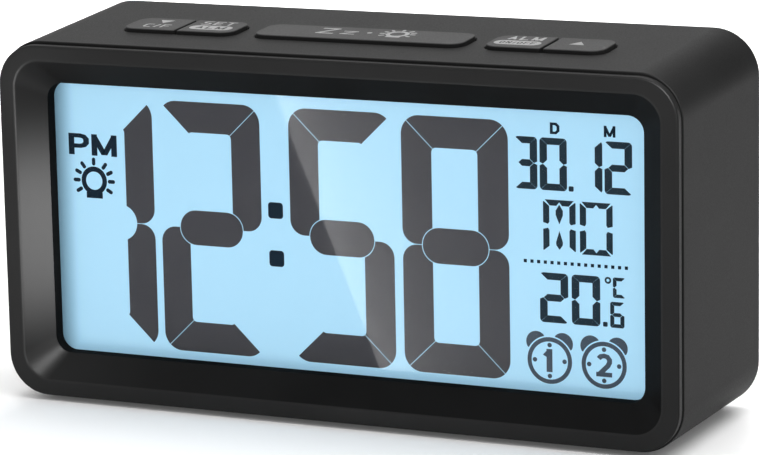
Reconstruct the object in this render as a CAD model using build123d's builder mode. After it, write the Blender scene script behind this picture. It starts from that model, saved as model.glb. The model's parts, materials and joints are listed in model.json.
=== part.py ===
from build123d import *
from math import atan2, cos, sin
import os

os.makedirs("parts", exist_ok=True)

# A digital alarm clock in millimetres: X along the width, the display faces -Y, Z is up.
# The feet stand on Z = 0, and the clock is centred on X = 0 and Y = 0.
# A depth is measured back from the bezel's front face.

# Whole clock
clock_depth = 40.0
wall = 2.0
overrun = 1.0
small_sides = 8
disc_sides = 20
fit_gap = 0.15
layer_gap = 0.1

# Main case: a shell that widens and rises towards the back
rim_width = 133.2
rim_height = 67.0
rim_radius = 8.2
side_draft = 0.9
top_rise = 2.35
back_radius = 8.6
case_start = 1.95
back_edge = 0.7

# Feet
foot_radius = 4.0
foot_thickness = 1.1
foot_proud = 0.5
foot_inset_x = 14.6
foot_inset_y = 8.0

# Front bezel: flat ring, inward slope, short straight wall, and a skirt inside the case
bezel_inset = 0.23
bezel_rim = 1.35
bezel_edge_radius = 0.85
ring_width = 3.4
mouth_radius = 5.2
mouth_edge_radius = 0.6
slope_run = 4.6
slope_depth = 4.2
window_radius = 3.05
window_depth = 6.8
skirt_depth = 9.6
skirt_thickness = 1.3
core_wall = 1.0
core_lap = 2.4
bezel_boss_radius = 1.9
bezel_boss_pitch = 36.0
snap_length = 14.0
snap_width = 1.0
snap_proud = 0.6
snap_inset = 1.1
snap_pitch = 70.0

# Display stack
lens_thickness = 1.2
lens_lap = 1.0
lcd_lap = 0.8
glass_thickness = 1.0
ledge_height = 2.0
guide_thickness = 2.2
guide_lap = 0.5
tray_wall = 0.8
tray_thickness = 1.2
ear_height = 4.4
zebra_inset = 3.0
zebra_thickness = 1.5

# Lamp strip along the top edge of the light guide
lamp_width = 3.0
lamp_height = 0.9
lamp_depth = 1.4
lamp_count = 5
strip_inset = 8.0
strip_depth = 2.0
strip_thickness = 0.8

# Main board and the pieces on it
board_inset = 5.0
board_clear = 6.6
board_margin = 1.2
board_thickness = 1.6
board_standoff = 0.5
board_post_radius = 2.2
board_screw_inset = 5.0
board_screw_low = 7.0
blob_radius = 7.0
blob_height = 1.7
blob_edge = 1.2
blob_x = 4.0
crystal_radius = 1.0
crystal_length = 6.0
crystal_clear = 5.0
sensor_clear = 2.2
sensor_bead_radius = 1.4
sensor_bead_length = 2.6
sensor_bead_edge = 0.7
sensor_leg_radius = 0.3
sensor_leg_pitch = 1.5

# Keys: two pairs and one long bar, in one row along the top
key_depth = 17.6
key_length = 9.4
key_radius = 2.7
key_proud = 0.7
key_edge = 0.3
key_gap = 0.25
key_split = 0.5
key_row_inset = 19.1
snooze_row_share = 0.434
pair_row_share = 0.238
flange_lip = 0.8
flange_gap = 0.1
flange_thickness = 1.0
stem_radius = 1.5
stem_length = 1.6

# Push switches and their board
switch_offset = 1.0
switch_size = 6.0
switch_height = 3.4
plunger_radius = 1.7
plunger_proud = 1.0
plunger_seat = 0.9
plunger_gap = 0.1
plunger_room = 1.9
key_post_radius = 2.5
key_post_clear = 0.45
key_board_margin = 0.3

# Screws
screw_gap = 0.05
case_screw_head = 2.6
case_screw_head_height = 1.3
case_screw_shank = 1.4
case_screw_length = 8.0
tray_screw_head = 1.8
tray_screw_head_height = 1.1
tray_screw_shank = 0.9
tray_screw_length = 6.0
board_screw_head = 1.9
board_screw_head_height = 1.2
board_screw_shank = 1.0
board_screw_length = 3.0
key_screw_length = 6.0
sink_gap = 0.35
sink_depth = 1.4

# Rear cover, set into the back of the case
cover_recess = 0.4
cover_thickness = 2.4
cover_edge = 0.4
cover_boss_radius = 3.0
cover_boss_length = 10.0
cover_boss_rib = 1.6
cover_screw_inset_x = 6.8
cover_screw_inset_z = 8.8
vent_length = 14.0
vent_width = 1.6
vent_pitch = 3.4
vent_count = 5

# Sounder behind its holes in the rear cover
piezo_radius = 10.5
piezo_thickness = 0.4
ceramic_radius = 7.5
ceramic_thickness = 0.3
piezo_seat_lap = 1.5
piezo_seat_height = 1.2
piezo_rim = 1.3
piezo_rim_height = 2.4
sound_hole_radius = 1.0
sound_ring_radius = 4.6
sound_ring_count = 6

# Battery bay, cells and contacts
bay_drop = 3.0
bay_wall = 1.4
cell_radius = 5.2
cell_length = 43.6
nub_radius = 1.9
nub_height = 0.9
cell_pitch = 11.0
cell_gap = 0.4
door_to_cell = 0.5
spring_room = 5.0
spring_radius = 2.6
spring_wire = 0.7
spring_turns = 1.5
spring_sides = 3
contact_thickness = 0.4
contact_width = 8.6
contact_margin = 0.3
bump_radius = 1.6
bump_height = 0.5
tail_width = 3.0
tail_reach = 1.0
tail_gap = 0.25

# Battery door: hooks at its lower edge, a springy tongue at its upper edge
door_thickness = 1.6
door_ledge = 1.3
door_gap = 0.25
door_edge = 0.3
hook_width = 6.0
hook_pitch = 34.0
hook_drop = 1.5
hook_thickness = 1.0
hook_clear = 0.3
hook_side_gap = 0.4
hook_swing = 1.3
tongue_width = 9.0
tongue_reach = 1.8
tongue_thickness = 1.0
tongue_slit = 1.0
tongue_slit_length = 7.0
grip_count = 3
grip_width = 0.6
grip_depth = 0.3
grip_pitch = 1.4
notch_margin = 2.5
notch_reach = 2.4
notch_depth = 1.5

# Leads
lead_sides = 4
lead_radius = 0.6
lead_bend_share = 0.85
red_lead_side = 9.0
black_lead_side = 14.0
thin_lead_radius = 0.4
thin_lead_bend = 1.5
thin_lead_pitch = 2.0
lamp_lead_inset = 4.0
lamp_slot_margin = 1.0
ribbon_width = 9.0
ribbon_thickness = 0.6
ribbon_back = 4.0
ribbon_bend = 3.0
ribbon_inset = 4.0

sides = (-1, 1)
front_y = -clock_depth / 2
base_z = foot_proud
mid_z = base_z + rim_height / 2
case_length = clock_depth - back_edge - case_start
back_width = rim_width + 2 * side_draft
back_height = rim_height + top_rise
top_tilt = atan2(top_rise, case_length)


def front_plane(depth):
    """A plane across the clock at a depth. It faces the front, with Z as its second axis."""
    return Plane(origin=(0, front_y + depth, 0), x_dir=(1, 0, 0), z_dir=(0, -1, 0))


def case_width_at(depth):
    return rim_width + 2 * side_draft * (depth - case_start) / case_length


def case_height_at(depth):
    return rim_height + top_rise * (depth - case_start) / case_length


def four_places(pitch_x, pitch_y, centre_y):
    """The corners of a rectangle that is centred across the clock."""
    return [(sx * pitch_x / 2, centre_y + sy * pitch_y / 2) for sx in sides for sy in sides]


def small_round(radius, mode=Mode.ADD):
    """A small round outline with few sides, for screws and what they pass through."""
    return RegularPolygon(radius, small_sides, mode=mode)


def disc_round(radius, mode=Mode.ADD):
    """A larger round outline with flat sides."""
    return RegularPolygon(radius, disc_sides, mode=mode)


def screws(seat, places, head, head_height, shank, length):
    """Screws whose heads sit on a plane, with the shanks along its normal."""
    with BuildPart() as group:
        with BuildSketch(seat):
            with Locations(*places):
                small_round(head)
        extrude(amount=-head_height)
        with BuildSketch(seat):
            with Locations(*places):
                small_round(shank)
        extrude(amount=length)
    return group


def lead(route, bend, radius):
    """A lead along straight runs joined by arcs."""
    with BuildPart() as wire:
        with BuildLine() as path:
            FilletPolyline(*route, radius=bend)
        with BuildSketch(Plane(origin=path.line @ 0, z_dir=path.line % 0)):
            RegularPolygon(radius, lead_sides)
        sweep()
    return wire


# The key row lies on a plane in the case's sloping top, with its normal along the keys' travel
key_plane = Plane(
    origin=(0, front_y + key_depth, base_z + case_height_at(key_depth)),
    x_dir=(1, 0, 0),
    z_dir=(0, -sin(top_tilt), cos(top_tilt)),
)
flange_top = -wall - flange_gap
flange_low = flange_top - flange_thickness
plunger_top = flange_low - stem_length
switch_top = plunger_top - plunger_proud
switch_low = switch_top - switch_height
key_board_low = switch_low - board_thickness
key_row = rim_width - 2 * key_row_inset
snooze_width = snooze_row_share * key_row
pair_width = pair_row_share * key_row
pair_centre = (key_row - pair_width) / 2
half_key = (pair_width - key_split) / 2
key_shift = (half_key + key_split) / 2
key_groups = [(-pair_centre, pair_width), (0, snooze_width), (pair_centre, pair_width)]
key_centres = {
    "down": -pair_centre - key_shift,
    "set": -pair_centre + key_shift,
    "snooze": 0,
    "alarm": pair_centre - key_shift,
    "up": pair_centre + key_shift,
}
switch_places = [(x, switch_offset) for x in key_centres.values()]
post_reach = key_gap + flange_lip + key_post_clear + key_post_radius
end_post_x = pair_centre + pair_width / 2 + post_reach
inner_post_x = (snooze_width / 2 + pair_centre - pair_width / 2) / 2
inner_post_y = key_length / 2 + post_reach
post_places = [(side * end_post_x, switch_offset) for side in sides]
post_places += [(side * inner_post_x, inner_post_y) for side in sides]
key_board_width = 2 * (end_post_x + key_post_radius + key_board_margin)
key_board_front = switch_offset - switch_size / 2 - key_board_margin
key_board_back = inner_post_y + key_post_radius + key_board_margin

# Bezel outlines
skirt_half = rim_width / 2 - wall - fit_gap
skirt_height = rim_height - 2 * (wall + fit_gap)
skirt_radius = rim_radius - wall - fit_gap
mouth_width = rim_width - 2 * ring_width
mouth_height = rim_height - 2 * ring_width
window_width = mouth_width - 2 * slope_run
window_height = mouth_height - 2 * slope_run
core_start = slope_depth - core_wall
snap_depth = skirt_depth - snap_inset - snap_width / 2
boss_x = skirt_half - bezel_boss_radius - fit_gap
boss_places = four_places(2 * boss_x, bezel_boss_pitch, mid_z)

# Depths of the display stack
lens_back = window_depth + lens_thickness
lcd_front = lens_back + layer_gap
ledge_back = lcd_front + glass_thickness
lcd_back = ledge_back + glass_thickness
guide_front = lcd_back + layer_gap
guide_back = guide_front + guide_thickness
tray_floor = guide_back + layer_gap
tray_back = tray_floor + tray_thickness
board_front = tray_back + board_standoff
board_back = board_front + board_thickness

# Widths and heights of the display stack
lcd_half = window_width / 2 + lcd_lap
lcd_top = mid_z + window_height / 2 + lcd_lap
ledge_top = mid_z - window_height / 2 - lcd_lap
lcd_low = ledge_top - ledge_height
zebra_low = lcd_low + (ledge_height - zebra_thickness) / 2
lamp_low = mid_z + window_height / 2 + guide_lap + layer_gap
strip_low = lamp_low + lamp_height
strip_top = strip_low + strip_thickness
strip_length = 2 * (lcd_half - strip_inset)
tray_half = lcd_half + layer_gap + tray_wall
tray_low = lcd_low - layer_gap - tray_wall
tray_top = strip_top + layer_gap + tray_wall
board_width = 2 * (tray_half - board_inset)
board_low = zebra_low - board_margin
board_high = key_plane.offset(key_board_low).origin.Z - board_clear
board_height = board_high - board_low
board_screw_z = (board_low + board_screw_low + board_high - board_screw_inset) / 2
board_screw_places = four_places(
    board_width - 2 * board_screw_inset,
    board_height - board_screw_low - board_screw_inset,
    board_screw_z,
)
zebra_length = board_width - 2 * zebra_inset
lamp_lead_x = lamp_lead_inset - strip_length / 2

# Rear cover and battery bay
cover_back = clock_depth - cover_recess
cover_front = cover_back - cover_thickness
cover_width = case_width_at(cover_front) - 2 * (wall + fit_gap)
cover_height = case_height_at(cover_front) - 2 * (wall + fit_gap)
cover_mid_z = base_z + case_height_at(cover_front) / 2
cover_places = four_places(
    cover_width - 2 * cover_screw_inset_x, cover_height - 2 * cover_screw_inset_z, cover_mid_z
)
sink_floor = cover_back - sink_depth
piezo_front = cover_front - piezo_seat_height - piezo_thickness
ceramic_front = piezo_front - ceramic_thickness
door_front = cover_back - door_thickness
bay_mid_z = cover_mid_z - bay_drop
bay_height = cell_pitch + 2 * (cell_radius + cell_gap)
bay_length = cell_length + nub_height + bump_height + spring_room + 2 * contact_thickness
vent_x = (bay_length / 2 + bay_wall + cover_width / 2) / 2
piezo_x = -vent_x
cell_depth = door_front - door_to_cell - cell_radius
cell_y = front_y + cell_depth
bay_floor = cell_depth - cell_radius - cell_gap
bay_front = bay_floor - bay_wall
contact_face = bay_length / 2 - contact_thickness
contact_front = bay_floor + contact_margin
contact_back = door_front - contact_margin
contact_y = front_y + (contact_front + contact_back) / 2
door_width = bay_length + 2 * door_ledge
door_height = bay_height + 2 * door_ledge
door_low = bay_mid_z - door_height / 2
door_high = bay_mid_z + door_height / 2
hook_back = cover_front - hook_clear
hook_front = hook_back - hook_thickness
sensor_start = cover_front - sensor_clear - sensor_bead_length

# Main case
with BuildPart() as main_case:
    with BuildSketch(front_plane(case_start)):
        with Locations((0, mid_z)):
            RectangleRounded(rim_width, rim_height, rim_radius)
    with BuildSketch(front_plane(clock_depth - back_edge)):
        with Locations((0, base_z + back_height / 2)):
            RectangleRounded(back_width, back_height, back_radius)
    with BuildSketch(front_plane(clock_depth)):
        with Locations((0, base_z + back_height / 2)):
            RectangleRounded(back_width - 2 * back_edge, back_height - 2 * back_edge, back_radius - back_edge)
    loft(ruled=True)
    with BuildSketch(front_plane(case_start)):
        with Locations((0, mid_z)):
            RectangleRounded(rim_width - 2 * wall, rim_height - 2 * wall, rim_radius - wall)
    with BuildSketch(front_plane(clock_depth)):
        with Locations((0, base_z + case_height_at(clock_depth) / 2)):
            RectangleRounded(
                case_width_at(clock_depth) - 2 * wall, case_height_at(clock_depth) - 2 * wall, back_radius - wall
            )
    loft(ruled=True, mode=Mode.SUBTRACT)
    # openings for the keys
    with BuildSketch(key_plane.offset(overrun)):
        for centre, width in key_groups:
            with Locations((centre, 0)):
                RectangleRounded(width + 2 * key_gap, key_length + 2 * key_gap, key_radius + key_gap)
    extrude(amount=-wall - 2 * overrun, mode=Mode.SUBTRACT)
    # posts that carry the key board
    with BuildSketch(key_plane.offset(switch_low)):
        with Locations(*post_places):
            small_round(key_post_radius)
            small_round(board_screw_shank + screw_gap, mode=Mode.SUBTRACT)
    extrude(amount=-wall / 2 - switch_low)
    # bosses for the rear cover's screws, ribbed to the side walls
    with BuildSketch(front_plane(cover_front)):
        for x, z in cover_places:
            side = x / abs(x)
            rib = case_width_at(cover_front - cover_boss_length) / 2 - wall / 2 - abs(x)
            with Locations((x + side * rib / 2, z)):
                Rectangle(rib, cover_boss_rib)
            with Locations((x, z)):
                small_round(cover_boss_radius)
        with Locations(*cover_places):
            small_round(case_screw_shank + screw_gap, mode=Mode.SUBTRACT)
    extrude(amount=cover_boss_length)
    # grooves for the bezel's snap beads
    with BuildSketch(front_plane(snap_depth - snap_width)):
        for x in (-snap_pitch / 2, snap_pitch / 2):
            for z in (base_z + wall, base_z + case_height_at(snap_depth) - wall):
                with Locations((x, z)):
                    Rectangle(snap_length + snap_width, 2 * (snap_proud + fit_gap))
    extrude(amount=-2 * snap_width, mode=Mode.SUBTRACT)
    # seats for the feet
    with BuildSketch(Plane.XY.offset(base_z)):
        with GridLocations(rim_width - 2 * foot_inset_x, clock_depth - 2 * foot_inset_y, 2, 2):
            disc_round(foot_radius + fit_gap)
    extrude(amount=foot_thickness - foot_proud, mode=Mode.SUBTRACT)

# Feet
with BuildPart() as feet:
    with BuildSketch():
        with GridLocations(rim_width - 2 * foot_inset_x, clock_depth - 2 * foot_inset_y, 2, 2):
            disc_round(foot_radius)
    extrude(amount=foot_thickness)

# Front bezel
with BuildPart() as front_bezel:
    with BuildSketch(front_plane(0)):
        with Locations((0, mid_z)):
            RectangleRounded(
                rim_width - 2 * bezel_inset, rim_height - 2 * bezel_inset, rim_radius - bezel_inset
            )
    extrude(amount=-bezel_rim)
    fillet(front_bezel.faces().sort_by(Axis.Y)[0].edges(), bezel_edge_radius)
    with BuildSketch(front_plane(bezel_rim)):
        with Locations((0, mid_z)):
            RectangleRounded(2 * skirt_half, skirt_height, skirt_radius)
    extrude(amount=bezel_rim - skirt_depth)
    # hollow behind the window frame, and a groove that keeps the slope's wall thin
    with BuildSketch(front_plane(window_depth)):
        with Locations((0, mid_z)):
            RectangleRounded(
                2 * (skirt_half - skirt_thickness),
                skirt_height - 2 * skirt_thickness,
                skirt_radius - skirt_thickness,
            )
    extrude(amount=window_depth - skirt_depth, mode=Mode.SUBTRACT)
    with BuildSketch(front_plane(core_start)):
        with Locations((0, mid_z)):
            RectangleRounded(
                2 * (skirt_half - skirt_thickness),
                skirt_height - 2 * skirt_thickness,
                skirt_radius - skirt_thickness,
            )
            RectangleRounded(
                window_width + 2 * core_lap,
                window_height + 2 * core_lap,
                window_radius + core_lap,
                mode=Mode.SUBTRACT,
            )
    extrude(amount=core_start - window_depth, mode=Mode.SUBTRACT)
    # slope and window
    with BuildSketch(front_plane(0)):
        with Locations((0, mid_z)):
            RectangleRounded(mouth_width, mouth_height, mouth_radius)
    with BuildSketch(front_plane(slope_depth)):
        with Locations((0, mid_z)):
            RectangleRounded(window_width, window_height, window_radius)
    loft(ruled=True, mode=Mode.SUBTRACT)
    with BuildSketch(front_plane(slope_depth)):
        with Locations((0, mid_z)):
            RectangleRounded(window_width, window_height, window_radius)
    extrude(amount=slope_depth - window_depth, mode=Mode.SUBTRACT)
    fillet(front_bezel.faces().sort_by(Axis.Y)[0].inner_wires()[0].edges(), mouth_edge_radius)
    # bosses for the tray's screws
    with BuildSketch(front_plane(tray_floor)):
        with Locations(*boss_places):
            small_round(bezel_boss_radius)
    extrude(amount=tray_floor - core_start)
    with BuildSketch(front_plane(tray_floor)):
        with Locations(*boss_places):
            small_round(tray_screw_shank + screw_gap)
    extrude(amount=tray_screw_length, mode=Mode.SUBTRACT)
    # snap beads
    with BuildSketch(front_plane(snap_depth - snap_width / 2)):
        for x, z in four_places(snap_pitch, skirt_height, mid_z):
            with Locations((x, z)):
                Rectangle(snap_length, 2 * snap_proud)
    extrude(amount=-snap_width)

# Display lens
with BuildPart() as display_lens:
    with BuildSketch(front_plane(window_depth)):
        with Locations((0, mid_z)):
            RectangleRounded(
                window_width + 2 * lens_lap, window_height + 2 * lens_lap, window_radius + lens_lap
            )
    extrude(amount=-lens_thickness)

# Liquid crystal panel: its front glass runs on below as a contact ledge
with BuildPart() as lcd_panel:
    with BuildSketch(front_plane(lcd_front)):
        with Locations((0, (lcd_low + lcd_top) / 2)):
            Rectangle(2 * lcd_half, lcd_top - lcd_low)
    extrude(amount=-glass_thickness)
    with BuildSketch(front_plane(ledge_back)):
        with Locations((0, (ledge_top + lcd_top) / 2)):
            Rectangle(2 * lcd_half, lcd_top - ledge_top)
    extrude(amount=-glass_thickness)

# Conductive strip from the ledge to the main board
with BuildPart() as zebra_strip:
    with BuildSketch(front_plane(ledge_back)):
        with Locations((0, zebra_low + zebra_thickness / 2)):
            Rectangle(zebra_length, zebra_thickness)
    extrude(amount=ledge_back - board_front)

# Light guide
with BuildPart() as light_guide:
    with BuildSketch(front_plane(guide_front)):
        with Locations((0, mid_z)):
            Rectangle(window_width + 2 * guide_lap, window_height + 2 * guide_lap)
    extrude(amount=-guide_thickness)

# Lamps and the strip that carries them
with BuildPart() as lamp_strip:
    with BuildSketch(front_plane(guide_front)):
        with Locations((0, strip_low + strip_thickness / 2)):
            Rectangle(strip_length, strip_thickness)
    extrude(amount=-strip_depth)

with BuildPart() as backlight_lamps:
    with BuildSketch(front_plane(guide_front + (strip_depth - lamp_depth) / 2)):
        with Locations((0, lamp_low + lamp_height / 2)):
            with GridLocations(strip_length / lamp_count, 0, lamp_count, 1):
                Rectangle(lamp_width, lamp_height)
    extrude(amount=-lamp_depth)

# Backlight tray
with BuildPart() as backlight_tray:
    with BuildSketch(front_plane(lens_back)):
        with Locations((0, (tray_low + tray_top) / 2)):
            Rectangle(2 * tray_half, tray_top - tray_low)
    extrude(amount=lens_back - tray_back)
    with BuildSketch(front_plane(lens_back)):
        with Locations((0, (tray_low + tray_top) / 2)):
            Rectangle(2 * (tray_half - tray_wall), tray_top - tray_low - 2 * tray_wall)
    extrude(amount=lens_back - tray_floor, mode=Mode.SUBTRACT)
    # ears on the bezel's bosses
    ear_start = tray_half - tray_wall
    with BuildSketch(front_plane(tray_floor)):
        for x, z in boss_places:
            with Locations((x / abs(x) * (ear_start + boss_x) / 2, z)):
                Rectangle(boss_x - ear_start, ear_height)
            with Locations((x, z)):
                small_round(bezel_boss_radius)
        with Locations(*boss_places):
            small_round(tray_screw_shank + screw_gap, mode=Mode.SUBTRACT)
    extrude(amount=-tray_thickness)
    # posts for the main board
    with BuildSketch(front_plane(tray_back)):
        with Locations(*board_screw_places):
            small_round(board_post_radius)
    extrude(amount=-board_standoff)
    with BuildSketch(front_plane(tray_floor)):
        with Locations(*board_screw_places):
            small_round(board_screw_shank + screw_gap)
    extrude(amount=tray_floor - board_front, mode=Mode.SUBTRACT)
    # slots for the conductive strip and the lamp leads
    with BuildSketch(front_plane(tray_floor)):
        with Locations((0, zebra_low + zebra_thickness / 2)):
            Rectangle(zebra_length + 2 * fit_gap, zebra_thickness + 2 * fit_gap)
        with Locations((lamp_lead_x, strip_low + strip_thickness / 2)):
            Rectangle(thin_lead_pitch + 2 * lamp_slot_margin, strip_thickness + lamp_slot_margin)
    extrude(amount=-tray_thickness, mode=Mode.SUBTRACT)

# Main board and the pieces on its back
with BuildPart() as main_board:
    with BuildSketch(front_plane(board_front)):
        with Locations((0, (board_low + board_high) / 2)):
            Rectangle(board_width, board_height)
        with Locations(*board_screw_places):
            small_round(board_screw_shank + screw_gap, mode=Mode.SUBTRACT)
    extrude(amount=-board_thickness)

with BuildPart() as controller_blob:
    with BuildSketch(front_plane(board_back)):
        with Locations((blob_x, board_screw_z)):
            disc_round(blob_radius)
    extrude(amount=-blob_height)
    chamfer(controller_blob.edges().group_by(Axis.Y)[-1], blob_edge)

with BuildPart() as timing_crystal:
    with BuildSketch(Plane.YZ.offset(blob_x + blob_radius + crystal_clear)):
        with Locations((front_y + board_back + layer_gap + crystal_radius, board_screw_z)):
            small_round(crystal_radius)
    extrude(amount=crystal_length)

with BuildPart() as temperature_sensor:
    with BuildSketch(front_plane(board_back)):
        with Locations((vent_x, cover_mid_z)):
            with GridLocations(sensor_leg_pitch, 0, 2, 1):
                RegularPolygon(sensor_leg_radius, lead_sides)
    extrude(amount=board_back - sensor_start)
    with BuildSketch(front_plane(sensor_start)):
        with Locations((vent_x, cover_mid_z)):
            small_round(sensor_bead_radius)
    bead = extrude(amount=-sensor_bead_length)
    chamfer(bead.edges().group_by(Axis.Y)[-1], sensor_bead_edge)

# Key board, switches and plungers
with BuildPart() as key_board:
    with BuildSketch(key_plane.offset(switch_low)):
        with Locations((0, (key_board_front + key_board_back) / 2)):
            Rectangle(key_board_width, key_board_back - key_board_front)
        with Locations(*post_places):
            small_round(board_screw_shank + screw_gap, mode=Mode.SUBTRACT)
    extrude(amount=-board_thickness)

with BuildPart() as switch_bodies:
    with BuildSketch(key_plane.offset(switch_low)):
        with Locations(*switch_places):
            Rectangle(switch_size, switch_size)
    extrude(amount=switch_height)
    with BuildSketch(key_plane.offset(switch_top)):
        with Locations(*switch_places):
            small_round(plunger_radius + plunger_gap)
    extrude(amount=-plunger_room, mode=Mode.SUBTRACT)


def plunger(x):
    """A switch's plunger, from its seat in the switch to the key's stem."""
    with BuildPart() as pin:
        with BuildSketch(key_plane.offset(plunger_top)):
            with Locations((x, switch_offset)):
                small_round(plunger_radius)
        extrude(amount=-plunger_proud - plunger_seat)
    return pin


def key(group_centre, group_width, centre, width):
    """A key cap with its flange under the case's top and its stem down to the plunger.

    A key of a pair is cut from the pair's outline, and has no flange towards its neighbour.
    """
    lip = key_gap + flange_lip
    outward = 0 if width == group_width else (1 if centre > group_centre else -1)
    flange_width = width + (lip if outward else 2 * lip)
    with BuildPart() as cap:
        with BuildSketch(key_plane.offset(flange_low)):
            with Locations((group_centre, 0)):
                RectangleRounded(group_width, key_length, key_radius)
            with Locations((centre, 0)):
                Rectangle(width, key_length, mode=Mode.INTERSECT)
        extrude(amount=key_proud - flange_low)
        chamfer(cap.faces().sort_by(Axis.Z)[-1].edges(), key_edge)
        with BuildSketch(key_plane.offset(flange_low)):
            with Locations((centre + outward * lip / 2, 0)):
                Rectangle(flange_width, key_length + 2 * lip)
        extrude(amount=flange_thickness)
        with BuildSketch(key_plane.offset(plunger_top)):
            with Locations((centre, switch_offset)):
                small_round(stem_radius)
        extrude(amount=stem_length)
    return cap


keys = {
    "down": key(-pair_centre, pair_width, key_centres["down"], half_key),
    "set": key(-pair_centre, pair_width, key_centres["set"], half_key),
    "snooze": key(0, snooze_width, key_centres["snooze"], snooze_width),
    "alarm": key(pair_centre, pair_width, key_centres["alarm"], half_key),
    "up": key(pair_centre, pair_width, key_centres["up"], half_key),
}

# Rear cover with the battery bay, the sounder's seat and the vents
with BuildPart() as rear_cover:
    with BuildSketch(front_plane(cover_front)):
        with Locations((0, cover_mid_z)):
            RectangleRounded(cover_width, cover_height, back_radius - wall - fit_gap)
    extrude(amount=-cover_thickness)
    chamfer(rear_cover.faces().sort_by(Axis.Y)[-1].edges(), cover_edge)
    # bay
    with BuildSketch(front_plane(bay_front)):
        with Locations((0, bay_mid_z)):
            Rectangle(bay_length + 2 * bay_wall, bay_height + 2 * bay_wall)
    extrude(amount=bay_front - cover_front)
    with BuildSketch(front_plane(bay_floor)):
        with Locations((0, bay_mid_z)):
            Rectangle(bay_length, bay_height)
    extrude(amount=bay_floor - cover_back, mode=Mode.SUBTRACT)
    # seat of the door, with the finger notch above it
    with BuildSketch(front_plane(door_front)):
        with Locations((0, bay_mid_z)):
            Rectangle(door_width + 2 * door_gap, door_height + 2 * door_gap)
    extrude(amount=-door_thickness, mode=Mode.SUBTRACT)
    with BuildSketch(front_plane(cover_back - notch_depth)):
        with Locations((0, door_high + notch_reach / 2)):
            Rectangle(tongue_width + 2 * notch_margin, notch_reach + 2 * door_gap)
    extrude(amount=-notch_depth, mode=Mode.SUBTRACT)
    # slots for the door's hooks
    with BuildSketch(front_plane(hook_front - hook_swing)):
        with Locations((0, door_low + (door_ledge - door_gap) / 2)):
            with GridLocations(hook_pitch, 0, 2, 1):
                Rectangle(hook_width + 2 * hook_side_gap, door_ledge + door_gap)
    extrude(amount=hook_front - hook_swing - door_front, mode=Mode.SUBTRACT)
    # slots for the contact tails
    with BuildSketch(front_plane(bay_front)):
        with Locations(((contact_thickness - bay_length) / 2, bay_mid_z)):
            with GridLocations(0, cell_pitch, 1, 2):
                Rectangle(contact_thickness + 2 * tail_gap, tail_width + 2 * tail_gap)
    extrude(amount=-bay_wall, mode=Mode.SUBTRACT)
    # screw holes
    with BuildSketch(front_plane(cover_front)):
        with Locations(*cover_places):
            small_round(case_screw_shank + sink_gap / 2)
    extrude(amount=-cover_thickness, mode=Mode.SUBTRACT)
    with BuildSketch(front_plane(sink_floor)):
        with Locations(*cover_places):
            disc_round(case_screw_head + sink_gap)
    extrude(amount=-sink_depth, mode=Mode.SUBTRACT)
    # seat of the sounder and its holes
    with BuildSketch(front_plane(cover_front)):
        with Locations((piezo_x, cover_mid_z)):
            disc_round(piezo_radius + fit_gap + piezo_rim)
            disc_round(piezo_radius + fit_gap, mode=Mode.SUBTRACT)
    extrude(amount=piezo_rim_height)
    with BuildSketch(front_plane(cover_front)):
        with Locations((piezo_x, cover_mid_z)):
            disc_round(piezo_radius + fit_gap + piezo_rim / 2)
            disc_round(piezo_radius - piezo_seat_lap, mode=Mode.SUBTRACT)
    extrude(amount=piezo_seat_height)
    with BuildSketch(front_plane(cover_front)):
        with Locations((piezo_x, cover_mid_z)):
            small_round(sound_hole_radius)
            with PolarLocations(sound_ring_radius, sound_ring_count):
                small_round(sound_hole_radius)
    extrude(amount=-cover_thickness, mode=Mode.SUBTRACT)
    # vents beside the temperature sensor
    with BuildSketch(front_plane(cover_front)):
        with Locations((vent_x, cover_mid_z)):
            with GridLocations(0, vent_pitch, 1, vent_count):
                Rectangle(vent_length, vent_width)
    extrude(amount=-cover_thickness, mode=Mode.SUBTRACT)

# Sounder
with BuildPart() as piezo_disc:
    with BuildSketch(front_plane(piezo_front)):
        with Locations((piezo_x, cover_mid_z)):
            disc_round(piezo_radius)
    extrude(amount=-piezo_thickness)

with BuildPart() as piezo_ceramic:
    with BuildSketch(front_plane(ceramic_front)):
        with Locations((piezo_x, cover_mid_z)):
            disc_round(ceramic_radius)
    extrude(amount=-ceramic_thickness)

# Battery door
with BuildPart() as battery_door:
    with BuildSketch(front_plane(door_front)):
        with Locations((0, bay_mid_z)):
            Rectangle(door_width, door_height)
    extrude(amount=-door_thickness)
    chamfer(battery_door.edges().filter_by(Axis.Y), door_edge)
    # tongue between two slits, with grip grooves at its end
    with BuildSketch(front_plane(door_front)):
        with Locations((0, door_high - tongue_slit_length / 2)):
            with GridLocations(tongue_width + tongue_slit, 0, 2, 1):
                Rectangle(tongue_slit, tongue_slit_length)
    extrude(amount=-door_thickness, mode=Mode.SUBTRACT)
    with BuildSketch(front_plane(cover_back - tongue_thickness)):
        with Locations((0, door_high)):
            Rectangle(tongue_width, 2 * tongue_reach)
    extrude(amount=-tongue_thickness)
    with BuildSketch(front_plane(cover_back - grip_depth)):
        with Locations((0, door_high)):
            with GridLocations(0, grip_pitch, 1, grip_count):
                Rectangle(tongue_width, grip_width)
    extrude(amount=-grip_depth, mode=Mode.SUBTRACT)
    # hooks through the bay's lower wall and under the cover
    with BuildSketch(front_plane(hook_front)):
        with Locations((0, door_low + door_ledge / 2)):
            with GridLocations(hook_pitch, 0, 2, 1):
                Rectangle(hook_width, door_ledge)
    extrude(amount=hook_front - door_front)
    with BuildSketch(front_plane(hook_front)):
        with Locations((0, door_low + (door_ledge - hook_drop) / 2)):
            with GridLocations(hook_pitch, 0, 2, 1):
                Rectangle(hook_width, door_ledge + hook_drop)
    extrude(amount=-hook_thickness)

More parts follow.
